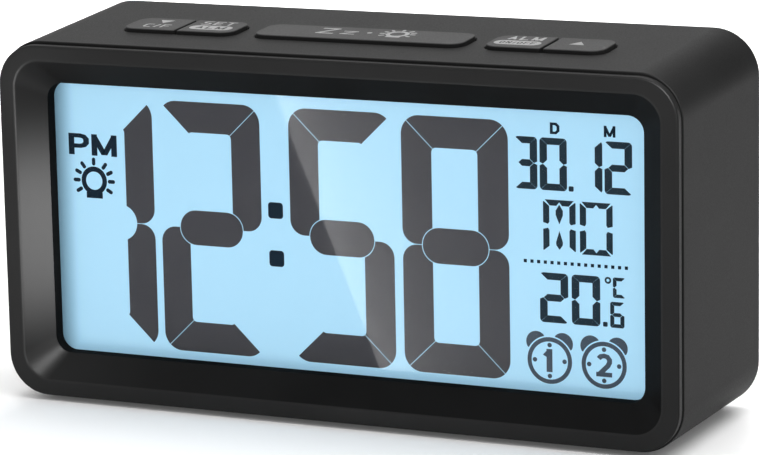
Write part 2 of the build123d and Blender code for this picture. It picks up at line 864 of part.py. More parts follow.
# Cells: the upper one points right, the lower one left
with BuildPart() as battery_cells:
    for side in sides:
        shoulder = Plane.YZ.offset(side * (contact_face - bump_height - nub_height))
        with BuildSketch(shoulder):
            with Locations((cell_y, bay_mid_z + side * cell_pitch / 2)):
                disc_round(cell_radius)
        extrude(amount=-side * cell_length)
        with BuildSketch(shoulder):
            with Locations((cell_y, bay_mid_z + side * cell_pitch / 2)):
                small_round(nub_radius)
        extrude(amount=side * nub_height)

# Contact plates: one across both cells on the right, two with tails on the left
tail_length = contact_front - bay_front + tail_reach
with BuildPart() as battery_contacts:
    with BuildSketch(Plane.YZ.offset(contact_face)):
        with Locations((contact_y, bay_mid_z)):
            Rectangle(contact_back - contact_front, cell_pitch + contact_width)
    extrude(amount=contact_thickness)
    with BuildSketch(Plane.YZ.offset(-contact_face)):
        for z in (bay_mid_z - cell_pitch / 2, bay_mid_z + cell_pitch / 2):
            with Locations((contact_y, z)):
                Rectangle(contact_back - contact_front, contact_width)
            with Locations((front_y + contact_front - tail_length / 2, z)):
                Rectangle(tail_length, tail_width)
    extrude(amount=-contact_thickness)
    # raised bumps that meet the cells' nubs
    for side in sides:
        with BuildSketch(Plane.YZ.offset(side * contact_face)):
            with Locations((cell_y, bay_mid_z + side * cell_pitch / 2)):
                small_round(bump_radius)
        extrude(amount=-side * bump_height)

# Springs at the cells' flat ends
coil_height = spring_room - spring_wire - 2 * layer_gap
with BuildPart() as contact_springs:
    for side in sides:
        coil_start = -side * (contact_face - layer_gap - spring_wire / 2)
        coil_centre = (coil_start, cell_y, bay_mid_z + side * cell_pitch / 2)
        with BuildLine() as coil:
            Helix(
                coil_height / spring_turns,
                coil_height,
                spring_radius,
                center=coil_centre,
                direction=(side, 0, 0),
            )
        with BuildSketch(Plane(origin=coil.line @ 0, z_dir=coil.line % 0)):
            RegularPolygon(spring_wire / 2, spring_sides)
        sweep(path=coil.line, is_frenet=True)

# Screws
case_screws = screws(
    front_plane(sink_floor),
    cover_places,
    case_screw_head,
    case_screw_head_height,
    case_screw_shank,
    case_screw_length,
)
tray_screws = screws(
    front_plane(tray_back),
    boss_places,
    tray_screw_head,
    tray_screw_head_height,
    tray_screw_shank,
    tray_screw_length,
)
board_screws = screws(
    front_plane(board_back),
    board_screw_places,
    board_screw_head,
    board_screw_head_height,
    board_screw_shank,
    board_screw_length,
)
key_board_screws = screws(
    key_plane.offset(key_board_low),
    post_places,
    board_screw_head,
    board_screw_head_height,
    board_screw_shank,
    key_screw_length,
)

# Leads from the contact tails to the main board
board_y = front_y + board_back


def battery_lead(z, sideways):
    x = -contact_face - contact_thickness / 2
    tail_y = front_y + bay_front - tail_reach
    turn_y = (tail_y + board_y) / 2
    bend = lead_bend_share * (tail_y - turn_y)
    route = [(x, tail_y, z), (x, turn_y, z), (x - sideways, turn_y, z), (x - sideways, board_y, z)]
    return lead(route, bend, lead_radius)


battery_lead_black = battery_lead(bay_mid_z + cell_pitch / 2, black_lead_side)
battery_lead_red = battery_lead(bay_mid_z - cell_pitch / 2, red_lead_side)

# Leads of the sounder
with BuildPart() as piezo_leads:
    with BuildSketch(front_plane(board_back)):
        with Locations((piezo_x, cover_mid_z)):
            with GridLocations(0, 2 * thin_lead_pitch, 1, 2):
                RegularPolygon(thin_lead_radius, lead_sides)
    extrude(amount=board_back - ceramic_front)

# Leads of the lamp strip, through the tray and down to the main board's upper edge
with BuildPart() as lamp_leads:
    start_y = front_y + guide_front + strip_depth
    drop_y = front_y + board_front + thin_lead_radius
    z = strip_low + strip_thickness / 2
    for x in (lamp_lead_x - thin_lead_pitch / 2, lamp_lead_x + thin_lead_pitch / 2):
        route = [(x, start_y, z), (x, drop_y, z), (x, drop_y, board_high)]
        add(lead(route, thin_lead_bend, thin_lead_radius).part)

# Ribbon from the key board down to the main board
key_under = key_plane.offset(key_board_low).origin
ribbon_y = key_under.Y + ribbon_back
ribbon_top = key_under.Z + ribbon_back * sin(top_tilt) / cos(top_tilt) - layer_gap
ribbon_end = board_high - ribbon_inset
with BuildPart() as key_ribbon:
    with BuildLine() as ribbon_path:
        FilletPolyline(
            (pair_centre, ribbon_y, ribbon_top),
            (pair_centre, ribbon_y, ribbon_end),
            (pair_centre, board_y, ribbon_end),
            radius=ribbon_bend,
        )
    with BuildSketch(
        Plane(origin=ribbon_path.line @ 0, x_dir=(1, 0, 0), z_dir=ribbon_path.line % 0)
    ):
        Rectangle(ribbon_width, ribbon_thickness)
    sweep()

pieces = {
    "main_case": main_case,
    "front_bezel": front_bezel,
    "display_lens": display_lens,
    "lcd_panel": lcd_panel,
    "light_guide": light_guide,
    "backlight_tray": backlight_tray,
    "lamp_strip": lamp_strip,
    "backlight_lamps": backlight_lamps,
    "zebra_strip": zebra_strip,
    "main_board": main_board,
    "controller_blob": controller_blob,
    "timing_crystal": timing_crystal,
    "temperature_sensor": temperature_sensor,
    "key_board": key_board,
    "switch_bodies": switch_bodies,
    "rear_cover": rear_cover,
    "battery_door": battery_door,
    "battery_cells": battery_cells,
    "battery_contacts": battery_contacts,
    "contact_springs": contact_springs,
    "piezo_disc": piezo_disc,
    "piezo_ceramic": piezo_ceramic,
    "feet": feet,
    "case_screws": case_screws,
    "tray_screws": tray_screws,
    "board_screws": board_screws,
    "key_board_screws": key_board_screws,
    "battery_lead_red": battery_lead_red,
    "battery_lead_black": battery_lead_black,
    "piezo_leads": piezo_leads,
    "lamp_leads": lamp_leads,
    "key_ribbon": key_ribbon,
}
for name, x in key_centres.items():
    pieces[f"{name}_key"] = keys[name]
    pieces[f"{name}_plunger"] = plunger(x)

for name, piece in pieces.items():
    piece.part.label = name
    export_step(piece.part, f"parts/{name}.step")
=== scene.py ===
import json
import math

import bmesh
import bpy
from mathutils import Matrix, Vector


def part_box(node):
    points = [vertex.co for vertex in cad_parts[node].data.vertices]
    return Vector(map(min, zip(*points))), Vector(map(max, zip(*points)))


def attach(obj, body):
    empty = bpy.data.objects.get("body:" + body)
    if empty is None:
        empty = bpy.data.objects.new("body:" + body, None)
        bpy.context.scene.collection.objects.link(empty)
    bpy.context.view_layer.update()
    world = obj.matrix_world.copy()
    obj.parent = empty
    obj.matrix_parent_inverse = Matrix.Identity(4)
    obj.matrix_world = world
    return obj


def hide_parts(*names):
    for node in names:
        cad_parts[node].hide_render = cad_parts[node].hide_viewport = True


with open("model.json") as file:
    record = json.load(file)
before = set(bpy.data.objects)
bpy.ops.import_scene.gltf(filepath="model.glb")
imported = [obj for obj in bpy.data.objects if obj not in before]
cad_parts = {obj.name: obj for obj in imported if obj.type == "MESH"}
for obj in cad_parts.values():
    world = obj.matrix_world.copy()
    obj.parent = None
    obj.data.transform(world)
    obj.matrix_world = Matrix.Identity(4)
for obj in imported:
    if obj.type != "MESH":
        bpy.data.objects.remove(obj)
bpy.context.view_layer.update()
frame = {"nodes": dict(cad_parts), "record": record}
scene = bpy.context.scene
mm = 0.001  # the lists of points below are in millimetres
overrun = 1.0  # how far a cutter stands out of what it cuts
print("frame loaded:", len(frame["nodes"]), "nodes")


def boxOf(nodeName):
    low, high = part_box(nodeName)
    return low / mm, high / mm


caseLow, caseHigh = boxOf("main_case")
bezelLow, bezelHigh = boxOf("front_bezel")
coverLow, coverHigh = boxOf("rear_cover")
frontY = bezelLow.y  # depths are measured back from the bezel's face
midZ = (bezelLow.z + bezelHigh.z) / 2


# Mesh helpers
def arcPoints(centre, radius, first, last, steps=8):
    turns = [math.radians(first + (last - first) * k / steps) for k in range(steps + 1)]
    return [(centre[0] + radius * math.cos(a), centre[1] + radius * math.sin(a)) for a in turns]


def quarterTurn(steps):
    return [math.radians(90 * k / steps) for k in range(steps + 1)]


def roundedOutline(width, height, radii, centre=(0, 0), steps=14):
    # anticlockwise from the lower right corner, with one radius for all corners or a list of four
    radii = radii if isinstance(radii, list) else [radii] * 4
    points = []
    for k, ((sx, sy), radius) in enumerate(zip(((1, -1), (1, 1), (-1, 1), (-1, -1)), radii)):
        bend = (centre[0] + sx * (width / 2 - radius), centre[1] + sy * (height / 2 - radius))
        points += arcPoints(bend, radius, 90 * k - 90, 90 * k, steps)
    return points


def circle(radius, centre=(0, 0), steps=8):
    return roundedOutline(2 * radius, 2 * radius, radius, centre, steps)


def edgeArc(depth, inset, radius, first, last, steps=6):
    # a rounded edge in a wall's section, as pairs of depth and inset
    return [(depth - x, inset - y) for x, y in arcPoints((0, 0), radius, first, last, steps)]


def skin(rings, closed=False):
    # faces between rings of equal length, with flat ends unless the rings close on themselves
    count = len(rings[0])
    faces = []
    for i in range(len(rings) if closed else len(rings) - 1):
        a = i * count
        b = (i + 1) % len(rings) * count
        faces += [(a + k, a + (k + 1) % count, b + (k + 1) % count, b + k) for k in range(count)]
    if not closed:
        faces.append(tuple(range(count))[::-1])
        faces.append(tuple(range((len(rings) - 1) * count, len(rings) * count)))
    return [point for ring in rings for point in ring], faces


def slab(low, high):
    corners = ((low[0], low[1]), (high[0], low[1]), (high[0], high[1]), (low[0], high[1]))
    return skin([[(x, y, z) for x, y in corners] for z in (low[2], high[2])])


def turnedShape(section, steps):
    # a shape turned about Z, from pairs of height and radius
    return skin([[(x, y, height) for x, y in circle(radius, steps=steps)] for height, radius in section])


def standing(outline, depth):
    return [(x, frontY + depth, z) for x, z in outline]


def joinParts(parts):
    points, faces = [], []
    for partPoints, partFaces in parts:
        faces += [tuple(i + len(points) for i in face) for face in partFaces]
        points += list(partPoints)
    return points, faces


def addObject(name, data):
    holder = bpy.data.objects.new(name, data)
    scene.collection.objects.link(holder)
    return holder


def shadeByAngle(piece, angle=32):
    piece.data.shade_smooth()
    piece.data.set_sharp_from_angle(angle=math.radians(angle))
    return piece


def makePiece(name, parts, material=None, solid=True):
    points, faces = joinParts(parts)
    mesh = bpy.data.meshes.new(name)
    mesh.from_pydata([[c * mm for c in point] for point in points], [], faces)
    if solid:
        work = bmesh.new()
        work.from_mesh(mesh)
        bmesh.ops.recalc_face_normals(work, faces=work.faces[:])
        work.to_mesh(mesh)
        work.free()
    if material:
        mesh.materials.append(material)
    return shadeByAngle(addObject(name, mesh))


def refinish(piece, material, chosen):
    # a second finish for the faces that the test picks by their middle and normal, in millimetres
    piece.data.materials.append(material)
    for face in piece.data.polygons:
        if chosen(face.center / mm, face.normal):
            face.material_index = len(piece.data.materials) - 1


def bakeModifiers(piece):
    bpy.context.view_layer.update()
    evaluated = piece.evaluated_get(bpy.context.evaluated_depsgraph_get())
    mesh = bpy.data.meshes.new_from_object(evaluated)
    piece.modifiers.clear()
    piece.data = mesh
    return piece


def carve(piece, cutter, operation="DIFFERENCE"):
    cut = piece.modifiers.new("carve", "BOOLEAN")
    cut.operation = operation
    cut.solver = "EXACT"
    cut.object = cutter
    bakeModifiers(piece)
    bpy.data.objects.remove(cutter)
    shadeByAngle(piece)


def weighNormals(piece):
    # broad flat faces keep their own direction, so a cut face shades evenly
    weigh = piece.modifiers.new("weigh", "WEIGHTED_NORMAL")
    weigh.keep_sharp = True
    return bakeModifiers(piece)


def seat(piece, body, slotName, *nodeNames):
    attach(piece, body)
    if nodeNames:
        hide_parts(*nodeNames)
    return piece


# Node helpers
def feed(node, values):
    # a socket is linked, and any other value is set
    for key, value in values.items():
        if isinstance(value, bpy.types.NodeSocket):
            node.id_data.links.new(value, node.inputs[key])
        else:
            node.inputs[key].default_value = value


def addNode(tree, kind, inputs=None, **settings):
    node = tree.nodes.new(kind)
    for key, value in settings.items():
        setattr(node, key, value)
    feed(node, inputs or {})
    return node.outputs


def openTree(name, **sockets):
    tree = bpy.data.node_groups.new(name, "GeometryNodeTree")
    for label, kind in sockets.items():
        tree.interface.new_socket(label, in_out="INPUT", socket_type="NodeSocket" + kind)
    tree.interface.new_socket("Geometry", in_out="OUTPUT", socket_type="NodeSocketGeometry")
    return tree, tree.nodes.new("NodeGroupInput").outputs


def closeTree(tree, given, stand):
    # realize the instances and give them their finish
    real = addNode(tree, "GeometryNodeRealizeInstances", {"Geometry": stand["Instances"]})
    coat = addNode(tree, "GeometryNodeSetMaterial", {"Geometry": real["Geometry"], "Material": given["Finish"]})
    addNode(tree, "NodeGroupOutput", {"Geometry": coat["Geometry"]})
    return tree


def standOnPoints(tree, given, item):
    # one item on each given point, turned as the point says
    turn = addNode(tree, "GeometryNodeInputNamedAttribute", {"Name": "turn"}, data_type="FLOAT_VECTOR")
    euler = addNode(tree, "FunctionNodeEulerToRotation", {"Euler": turn["Attribute"]})
    return addNode(tree, "GeometryNodeInstanceOnPoints", {
        "Points": given["Geometry"], "Instance": item, "Rotation": euler["Rotation"]})


def runTree(name, tree, values, points=()):
    mesh = bpy.data.meshes.new(name)
    mesh.from_pydata([[c * mm for c in place] for place, turn in points], [], [])
    turns = mesh.attributes.new("turn", "FLOAT_VECTOR", "POINT")
    for entry, (place, turn) in zip(turns.data, points):
        entry.vector = [math.radians(angle) for angle in turn]
    piece = addObject(name, mesh)
    modifier = piece.modifiers.new(name, "NODES")
    modifier.node_group = tree
    for item in tree.interface.items_tree:
        if item.in_out == "INPUT" and item.name in values:
            modifier[item.identifier] = values[item.name]
    return shadeByAngle(bakeModifiers(piece))


def buildScatterTree():
    tree, given = openTree("scatterOnPoints", Geometry="Geometry", Item="Object", Finish="Material")
    item = addNode(tree, "GeometryNodeObjectInfo", {"Object": given["Item"]})
    return closeTree(tree, given, standOnPoints(tree, given, item["Geometry"]))


def buildRowTree():
    tree, given = openTree("rowOfDots", Count="Int", Start="Vector", Pitch="Vector", Size="Float", Finish="Material")
    line = addNode(tree, "GeometryNodeMeshLine", {
        "Count": given["Count"], "Start Location": given["Start"], "Offset": given["Pitch"]})
    dot = addNode(tree, "GeometryNodeMeshGrid", {
        "Vertices X": 2, "Vertices Y": 2, "Size X": given["Size"], "Size Y": given["Size"]})
    stand = addNode(tree, "GeometryNodeInstanceOnPoints", {
        "Points": line["Mesh"], "Instance": dot["Mesh"], "Rotation": (math.radians(90), 0, 0)})
    return closeTree(tree, given, stand)


coilSteps = {"turn": 40, "wire": 10}


def buildCoilTree():
    tree, given = openTree("coilOnPoints", Geometry="Geometry", Turns="Float", Start="Float", End="Float",
                           Height="Float", Wire="Float", Finish="Material")
    spiral = addNode(tree, "GeometryNodeCurveSpiral", {
        "Resolution": coilSteps["turn"], "Rotations": given["Turns"], "Start Radius": given["Start"],
        "End Radius": given["End"], "Height": given["Height"]})
    wire = addNode(tree, "GeometryNodeCurvePrimitiveCircle", {
        "Resolution": coilSteps["wire"], "Radius": given["Wire"]})
    tube = addNode(tree, "GeometryNodeCurveToMesh", {
        "Curve": spiral["Curve"], "Profile Curve": wire["Curve"], "Fill Caps": True})
    return closeTree(tree, given, standOnPoints(tree, given, tube["Mesh"]))


scatterTree = buildScatterTree()
rowTree = buildRowTree()
coilTree = buildCoilTree()


def scatter(name, part, places, material=None):
    # one part at each place, unturned
    item = makePiece(name + "Item", [part])
    values = {"Item": item, "Finish": material} if material else {"Item": item}
    piece = runTree(name, scatterTree, values, [(place, (0, 0, 0)) for place in places])
    bpy.data.objects.remove(item)
    return piece


# Finishes
noiseSpan = (0.3, 0.7)  # most of a noise lies between these


def openMaterial(name):
    material = bpy.data.materials.new(name)
    material.use_nodes = True
    tree = material.node_tree
    return material, tree, tree.nodes["Principled BSDF"], addNode(tree, "ShaderNodeTexCoord")["Object"]


def colourOf(level):
    return (*level, 1) if isinstance(level, tuple) else (level, level, level, 1)


def noise(tree, place, scale, detail=2.0):
    return addNode(tree, "ShaderNodeTexNoise", {"Vector": place, "Scale": scale, "Detail": detail})["Fac"]


def blendColours(tree, factor, first, second):
    ramp = tree.nodes.new("ShaderNodeValToRGB")
    for element, position, level in zip(ramp.color_ramp.elements, noiseSpan, (first, second)):
        element.position = position
        element.color = colourOf(level)
    feed(ramp, {"Fac": factor})
    return ramp.outputs["Color"]


def remap(tree, value, span, result, **settings):
    names = ("Value", "From Min", "From Max", "To Min", "To Max")
    return addNode(tree, "ShaderNodeMapRange", dict(zip(names, (value, *span, *result))), **settings)["Result"]


def maths(tree, operation, *values):
    return addNode(tree, "ShaderNodeMath", dict(enumerate(values)), operation=operation)[0]


def axesOf(tree, place):
    return addNode(tree, "ShaderNodeSeparateXYZ", {"Vector": place})


grainLook = {"scale": 4000, "depth": 0.012, "strength": 0.6, "patch": 90, "patchDetail": 4.0}


def finish(name, dark, light, rough, grain=grainLook["scale"], grainDepth=grainLook["depth"],
           patches=grainLook["patch"], metallic=0.0, shine=0.5):
    # a fine grain in the bump and the gloss, and broad soft changes of colour
    material, tree, shader, place = openMaterial(name)
    broad = noise(tree, place, patches, grainLook["patchDetail"])
    fine = noise(tree, place, grain)
    bump = addNode(tree, "ShaderNodeBump", {
        "Height": fine, "Strength": grainLook["strength"], "Distance": grainDepth * mm})
    feed(shader, {"Base Color": blendColours(tree, broad, dark, light), "Metallic": metallic,
                  "Roughness": remap(tree, fine, noiseSpan, rough), "Specular IOR Level": shine,
                  "Normal": bump["Normal"]})
    return material


glossyInk = {"grainDepth": 0.0, "shine": 0.25}
mattInk = {"grainDepth": 0.002, "shine": 0.0}
# darker and lighter tone, range of roughness, and what differs from the plain finish
finishLooks = {
    "caseBlack": (0.0125, 0.0148, (0.50, 0.60), {"shine": 0.078}),
    "bezelBlack": (0.015, 0.017, (0.40, 0.50), {"shine": 0.11}),
    "keyBlack": (0.036, 0.042, (0.52, 0.64), {"shine": 0.14}),
    # painted shade: a darker copy of the bezel's black, for the bezel's slopes
    "slopeBlack": (0.007, 0.009, (0.38, 0.46), {"shine": 0.10}),
    # painted shade: the darkest black, for the window's wall deep in the recess; the dark flag card also uses it
    "recessBlack": (0.004, 0.006, (0.75, 0.9), {"shine": 0.02}),
    "legendGrey": (0.26, 0.31, (0.55, 0.65), {"grainDepth": 0.004, "shine": 0.2}),
    "footRubber": (0.012, 0.02, (0.7, 0.85), {"grain": 2500, "grainDepth": 0.03}),
    "zincSteel": (0.32, 0.45, (0.28, 0.42), {"metallic": 1.0}),
    "nickelSteel": (0.55, (0.66, 0.66, 0.6336), (0.16, 0.28), {"metallic": 1.0}),
    "tinCan": (0.6, 0.7, (0.2, 0.3), {"metallic": 1.0}),
    "bareBrass": ((0.55, 0.36, 0.12), (0.66, 0.45, 0.17), (0.22, 0.36), {"metallic": 1.0}),
    "silveredCeramic": (0.55, 0.68, (0.35, 0.5), {}),
    "solderMask": ((0.012, 0.09, 0.03), (0.02, 0.13, 0.045), (0.3, 0.45), {}),
    "whiteReflector": (0.72, 0.8, (0.4, 0.5), {}),
    "frostedGuide": ((0.6, 0.72, 0.8), (0.68, 0.8, 0.88), (0.35, 0.5), {}),
    "lampCase": ((0.7, 0.66, 0.4), 0.8, (0.3, 0.45), {"patches": 900}),
    "layeredSilicone": ((0.2, 0.12, 0.11), (0.32, 0.2, 0.19), (0.6, 0.75), {"patches": 2400}),
    "blackEpoxy": (0.01, 0.018, (0.12, 0.25), {"grain": 900, "grainDepth": 0.02}),
    "switchBlack": (0.014, 0.022, (0.4, 0.55), {}),
    "plungerRed": ((0.36, 0.03, 0.02), (0.45, 0.05, 0.03), (0.4, 0.5), {}),
    "leadRed": ((0.4, 0.01, 0.01), (0.5, 0.02, 0.02), (0.4, 0.55), {}),
    "leadBlack": (0.01, 0.018, (0.4, 0.55), {}),
    "greyRibbon": (0.26, 0.36, (0.45, 0.6), {"patches": 700}),
    "inkGrey": ((0.043, 0.044, 0.053), (0.048, 0.049, 0.059), (0.02, 0.04), glossyInk),
    "inkNavy": ((0.0135, 0.0265, 0.043), (0.0157, 0.0290, 0.0465), (0.5, 0.6), mattInk),
    "inkSlate": ((0.024, 0.042, 0.059), (0.0265, 0.046, 0.063), (0.5, 0.6), mattInk),
    "inkPale": ((0.047, 0.076, 0.112), (0.054, 0.086, 0.125), (0.02, 0.04), glossyInk),
}
finishes = {name: finish(name, *look[:3], **look[3]) for name, look in finishLooks.items()}

# painted shade at each edge of the window, where the bezel's wall shades the panel: how far it reaches in, and how
# dark it gets
lcdLook = {"ground": (0.43, 0.76, 1.0), "shade": (0.13, 0.24, 0.32), "unlit": (0.20, 0.345, 0.44), "paler": 1.03,
           "patch": 40, "glow": 0.61, "roughness": 0.03, "shine": 0.25, "window": (117.2, 51.0), "past": 0.8,
           "left": (3.8, 1.0), "right": (1.2, 0.2), "low": (2.6, 0.36), "top": (2.0, 0.3)}
lensLook = {"mirror": 0.0004, "patch": 60, "roughness": (0.0, 0.02)}
# painted sheen on the bezel's slopes: the gloss at the left end and from the middle on, and the X span in millimetres
# over which it fades
slopeLook = {"shine": (0.10, 0.03), "across": (-57, 0)}


def paintedEdgeShade(tree, place):
    # painted shade: 0 in the middle of the window, rising towards each edge to that edge's darkest, from the piece's
    # own coordinates
    axes = axesOf(tree, place)
    halfX, halfZ = (size / 2 for size in lcdLook["window"])
    edges = {"left": ("X", -halfX, -1), "right": ("X", halfX, 1),
             "low": ("Z", midZ - halfZ, -1), "top": ("Z", midZ + halfZ, 1)}
    shades = []
    for name, (axis, edge, way) in edges.items():
        reach, most = lcdLook[name]
        span = ((edge - way * reach) * mm, (edge + way * lcdLook["past"]) * mm)
        shades.append(remap(tree, axes[axis], span, (0, most), interpolation_type="SMOOTHSTEP"))
    darkest = shades[0]
    for shade in shades[1:]:
        darkest = maths(tree, "MAXIMUM", darkest, shade)
    return darkest


def litPanel():
    material, tree, shader, place = openMaterial("litPanel")
    # the glow darkens towards the window's edges: painted shade
    tone = addNode(tree, "ShaderNodeMix", {
        "Factor": paintedEdgeShade(tree, place), "A": colourOf(lcdLook["ground"]), "B": colourOf(lcdLook["shade"])},
        data_type="RGBA")
    paler = tuple(lcdLook["paler"] * c for c in lcdLook["unlit"])
    cloud = noise(tree, place, lcdLook["patch"])
    feed(shader, {"Base Color": blendColours(tree, cloud, lcdLook["unlit"], paler), "Emission Color": tone["Result"],
                  "Emission Strength": lcdLook["glow"], "Roughness": lcdLook["roughness"],
                  "Specular IOR Level": lcdLook["shine"]})
    return material


def clearAcrylic():
    # a clear sheet: nearly all of it lets the view through, the rest is a faint mirror
    material, tree, shader, place = openMaterial("clearAcrylic")
    haze = noise(tree, place, lensLook["patch"])
    feed(shader, {"Base Color": (1, 1, 1, 1), "Metallic": 1.0,
                  "Roughness": remap(tree, haze, noiseSpan, lensLook["roughness"])})
    through = addNode(tree, "ShaderNodeBsdfTransparent")["BSDF"]
    choose = addNode(tree, "ShaderNodeMixShader", {
        "Fac": lensLook["mirror"], 1: through, 2: shader.outputs["BSDF"]})
    feed(tree.nodes["Material Output"], {"Surface": choose["Shader"]})
    return material


def fadeShine(material):
    # painted sheen: the slopes' gloss is strong at the left end and fades out by the middle, which keeps the left
    # slope's highlight and dims the display's reflection in the right slope
    tree = material.node_tree
    place = next(node for node in tree.nodes if node.type == "TEX_COORD").outputs["Object"]
    span = [x * mm for x in slopeLook["across"]]
    shine = remap(tree, axesOf(tree, place)["X"], span, slopeLook["shine"])
    feed(tree.nodes["Principled BSDF"], {"Specular IOR Level": shine})


fadeShine(finishes["slopeBlack"])
finishes["litPanel"] = litPanel()
finishes["clearAcrylic"] = clearAcrylic()

slotFinish = {
    "case_black": "caseBlack", "bezel_black": "bezelBlack", "key_black": "keyBlack", "clear_lens": "clearAcrylic",
    "lcd": "litPanel", "light_guide": "frostedGuide", "white_tray": "whiteReflector", "board": "solderMask",
    "lamp": "lampCase", "conductive_rubber": "layeredSilicone", "epoxy": "blackEpoxy", "crystal_can": "tinCan",
    "switch": "switchBlack", "plunger": "plungerRed", "cell": "zincSteel", "contact": "nickelSteel",
    "brass": "bareBrass", "ceramic": "silveredCeramic", "foot_rubber": "footRubber", "screw": "zincSteel",
    "lead_red": "leadRed", "lead_black": "leadBlack", "ribbon": "greyRibbon",
}
for entry in frame["record"]["subparts"]:
    nodeMesh = frame["nodes"][entry["node"]].data
    nodeMesh.materials.clear()
    nodeMesh.materials.append(finishes[slotFinish[entry["material_slot"]]])
print("finishes made:", len(finishes))


# Main case
case = {"sideDraft": 0.9, "topRise": 2.35, "rimRadius": 8.2, "backRadius": 8.6, "wall": 2.0,
        "rimEdge": 0.2, "backEdge": 0.7, "innerEdge": 0.15, "support": 0.12}
caseStart = caseLow.y - frontY
caseEnd = caseHigh.y - frontY
caseRun = caseEnd - case["backEdge"] - caseStart
rimWidth = caseHigh.x - caseLow.x - 2 * case["sideDraft"]
rimHeight = caseHigh.z - caseLow.z - case["topRise"]


def caseHeight(depth):
    return rimHeight + case["topRise"] * (depth - caseStart) / caseRun


def caseRing(depth, inset):
    share = (depth - caseStart) / caseRun
    width = rimWidth + 2 * case["sideDraft"] * share - 2 * inset
    height = caseHeight(depth)
    radius = case["rimRadius"] + (case["backRadius"] - case["rimRadius"]) * share - inset
    return standing(roundedOutline(width, height - 2 * inset, radius, (0, caseLow.z + height / 2)), depth)


def caseSection():
    rim, back, inner, near = case["rimEdge"], case["backEdge"], case["innerEdge"], case["support"]
    wall = case["wall"]
    section = edgeArc(caseStart + rim, rim, rim, 0, 90)
    section += [(caseStart + rim + near, 0), (caseEnd - back - near, 0)]
    section += edgeArc(caseEnd - back, back, back, 90, 180)
    section += [(caseEnd, back + near), (caseEnd, wall - inner - near)]
    section += edgeArc(caseEnd - inner, wall - inner, inner, 180, 270, 3)
    section += [(caseEnd - inner - near, wall), (caseStart + near, wall), (caseStart, wall)]
    section += [(caseStart, wall - near), (caseStart, rim + near)]
    return section


# Keys: places on the plane of the sloping top
keys = {"depth": 17.6, "length": 9.4, "radius": 2.7, "splitRadius": 0.25, "leastRadius": 0.06, "proud": 0.7,
        "edge": 0.2, "support": (0.1, 0.12), "gap": 0.25, "rowInset": 19.1, "snoozeShare": 0.434, "pairShare": 0.238,
        "split": 0.5, "splitTrim": 0.06, "lip": 1.05, "flange": (-3.1, -2.1), "flangeRadius": 0.2, "stemRadius": 1.5,
        "stemEnd": -4.7, "stemAlong": 1.0, "mouthEdge": 0.18, "topNormal": 0.3}
keyTilt = math.atan2(case["topRise"], caseRun)
keyOrigin = Vector((0, frontY + keys["depth"], caseLow.z + caseHeight(keys["depth"])))
keyAlong = Vector((0, math.cos(keyTilt), math.sin(keyTilt)))
keyUp = Vector((0, -math.sin(keyTilt), math.cos(keyTilt)))
rowWidth = rimWidth - 2 * keys["rowInset"]
snoozeWidth = keys["snoozeShare"] * rowWidth
pairWidth = keys["pairShare"] * rowWidth
pairCentre = (rowWidth - pairWidth) / 2
halfKey = (pairWidth - keys["split"]) / 2
keyShift = (halfKey + keys["split"]) / 2
# name: middle, width, side of its rounded end (0 for both)
keyPlan = {
    "down": (-pairCentre - keyShift, halfKey, -1),
    "set": (-pairCentre + keyShift, halfKey, 1),
    "snooze": (0, snoozeWidth, 0),
    "alarm": (pairCentre - keyShift, halfKey, -1),
    "up": (pairCentre + keyShift, halfKey, 1),
}


def onKeys(x, along, up):
    return tuple(keyOrigin + Vector((x, 0, 0)) + along * keyAlong + up * keyUp)


def keyRing(up, width, length, radii, centre=(0, 0), steps=14):
    return [onKeys(x, y, up) for x, y in roundedOutline(width, length, radii, centre, steps)]


def keyMouth(centre, width):
    # cutter for one opening, flared a little at the top so that the edge is broken
    gap, edge = keys["gap"], keys["mouthEdge"]
    rings = []
    for up, grow in ((-2 * case["wall"], gap), (-edge, gap), (0, gap + edge), (edge, gap + 2 * edge)):
        rings.append(keyRing(up, width + 2 * grow, keys["length"] + 2 * grow, keys["radius"] + grow, (centre, 0)))
    return skin(rings)


def makeCase():
    shell = makePiece("caseShell", [skin([caseRing(*pair) for pair in caseSection()], closed=True)],
                      finishes["caseBlack"])
    groups = ((-pairCentre, pairWidth), (0, snoozeWidth), (pairCentre, pairWidth))
    carve(shell, makePiece("keyMouths", [keyMouth(*group) for group in groups]))
    plug = turnedShape([(height, feet["seatRadius"]) for height in (0, overrun + feet["seatDepth"])],
                       feet["seatSteps"])
    carve(shell, scatter("footSeats", plug, [(x, y, caseLow.z - overrun) for x, y in footPlaces]))
    return seat(weighNormals(shell), "housing", "case_black", "main_case")


# Feet
feet = {"radius": 4.0, "height": 1.1, "edge": 0.3, "lowEdge": 0.12, "hollow": 1.2, "support": 0.1, "insetX": 14.6,
        "insetY": 8.0, "steps": 10, "seatRadius": 4.15, "seatDepth": 0.6, "seatSteps": 8}
footPlaces = [(sx * (rimWidth / 2 - feet["insetX"]), sy * (caseEnd / 2 - feet["insetY"]))
              for sx in (-1, 1) for sy in (-1, 1)]


def makeFeet():
    edge, top = feet["edge"], feet["height"]
    section = [(0, feet["hollow"]), (0, edge + feet["support"])] + edgeArc(edge, edge, edge, 0, 90, 5)
    section += [(top - feet["lowEdge"], 0), (top, feet["lowEdge"])]
    foot = turnedShape([(height, feet["radius"] - inset) for height, inset in section], feet["steps"])
    piece = scatter("rubberFeet", foot, [(x, y, 0) for x, y in footPlaces], finishes["footRubber"])
    return seat(piece, "housing", "foot_rubber", "feet")


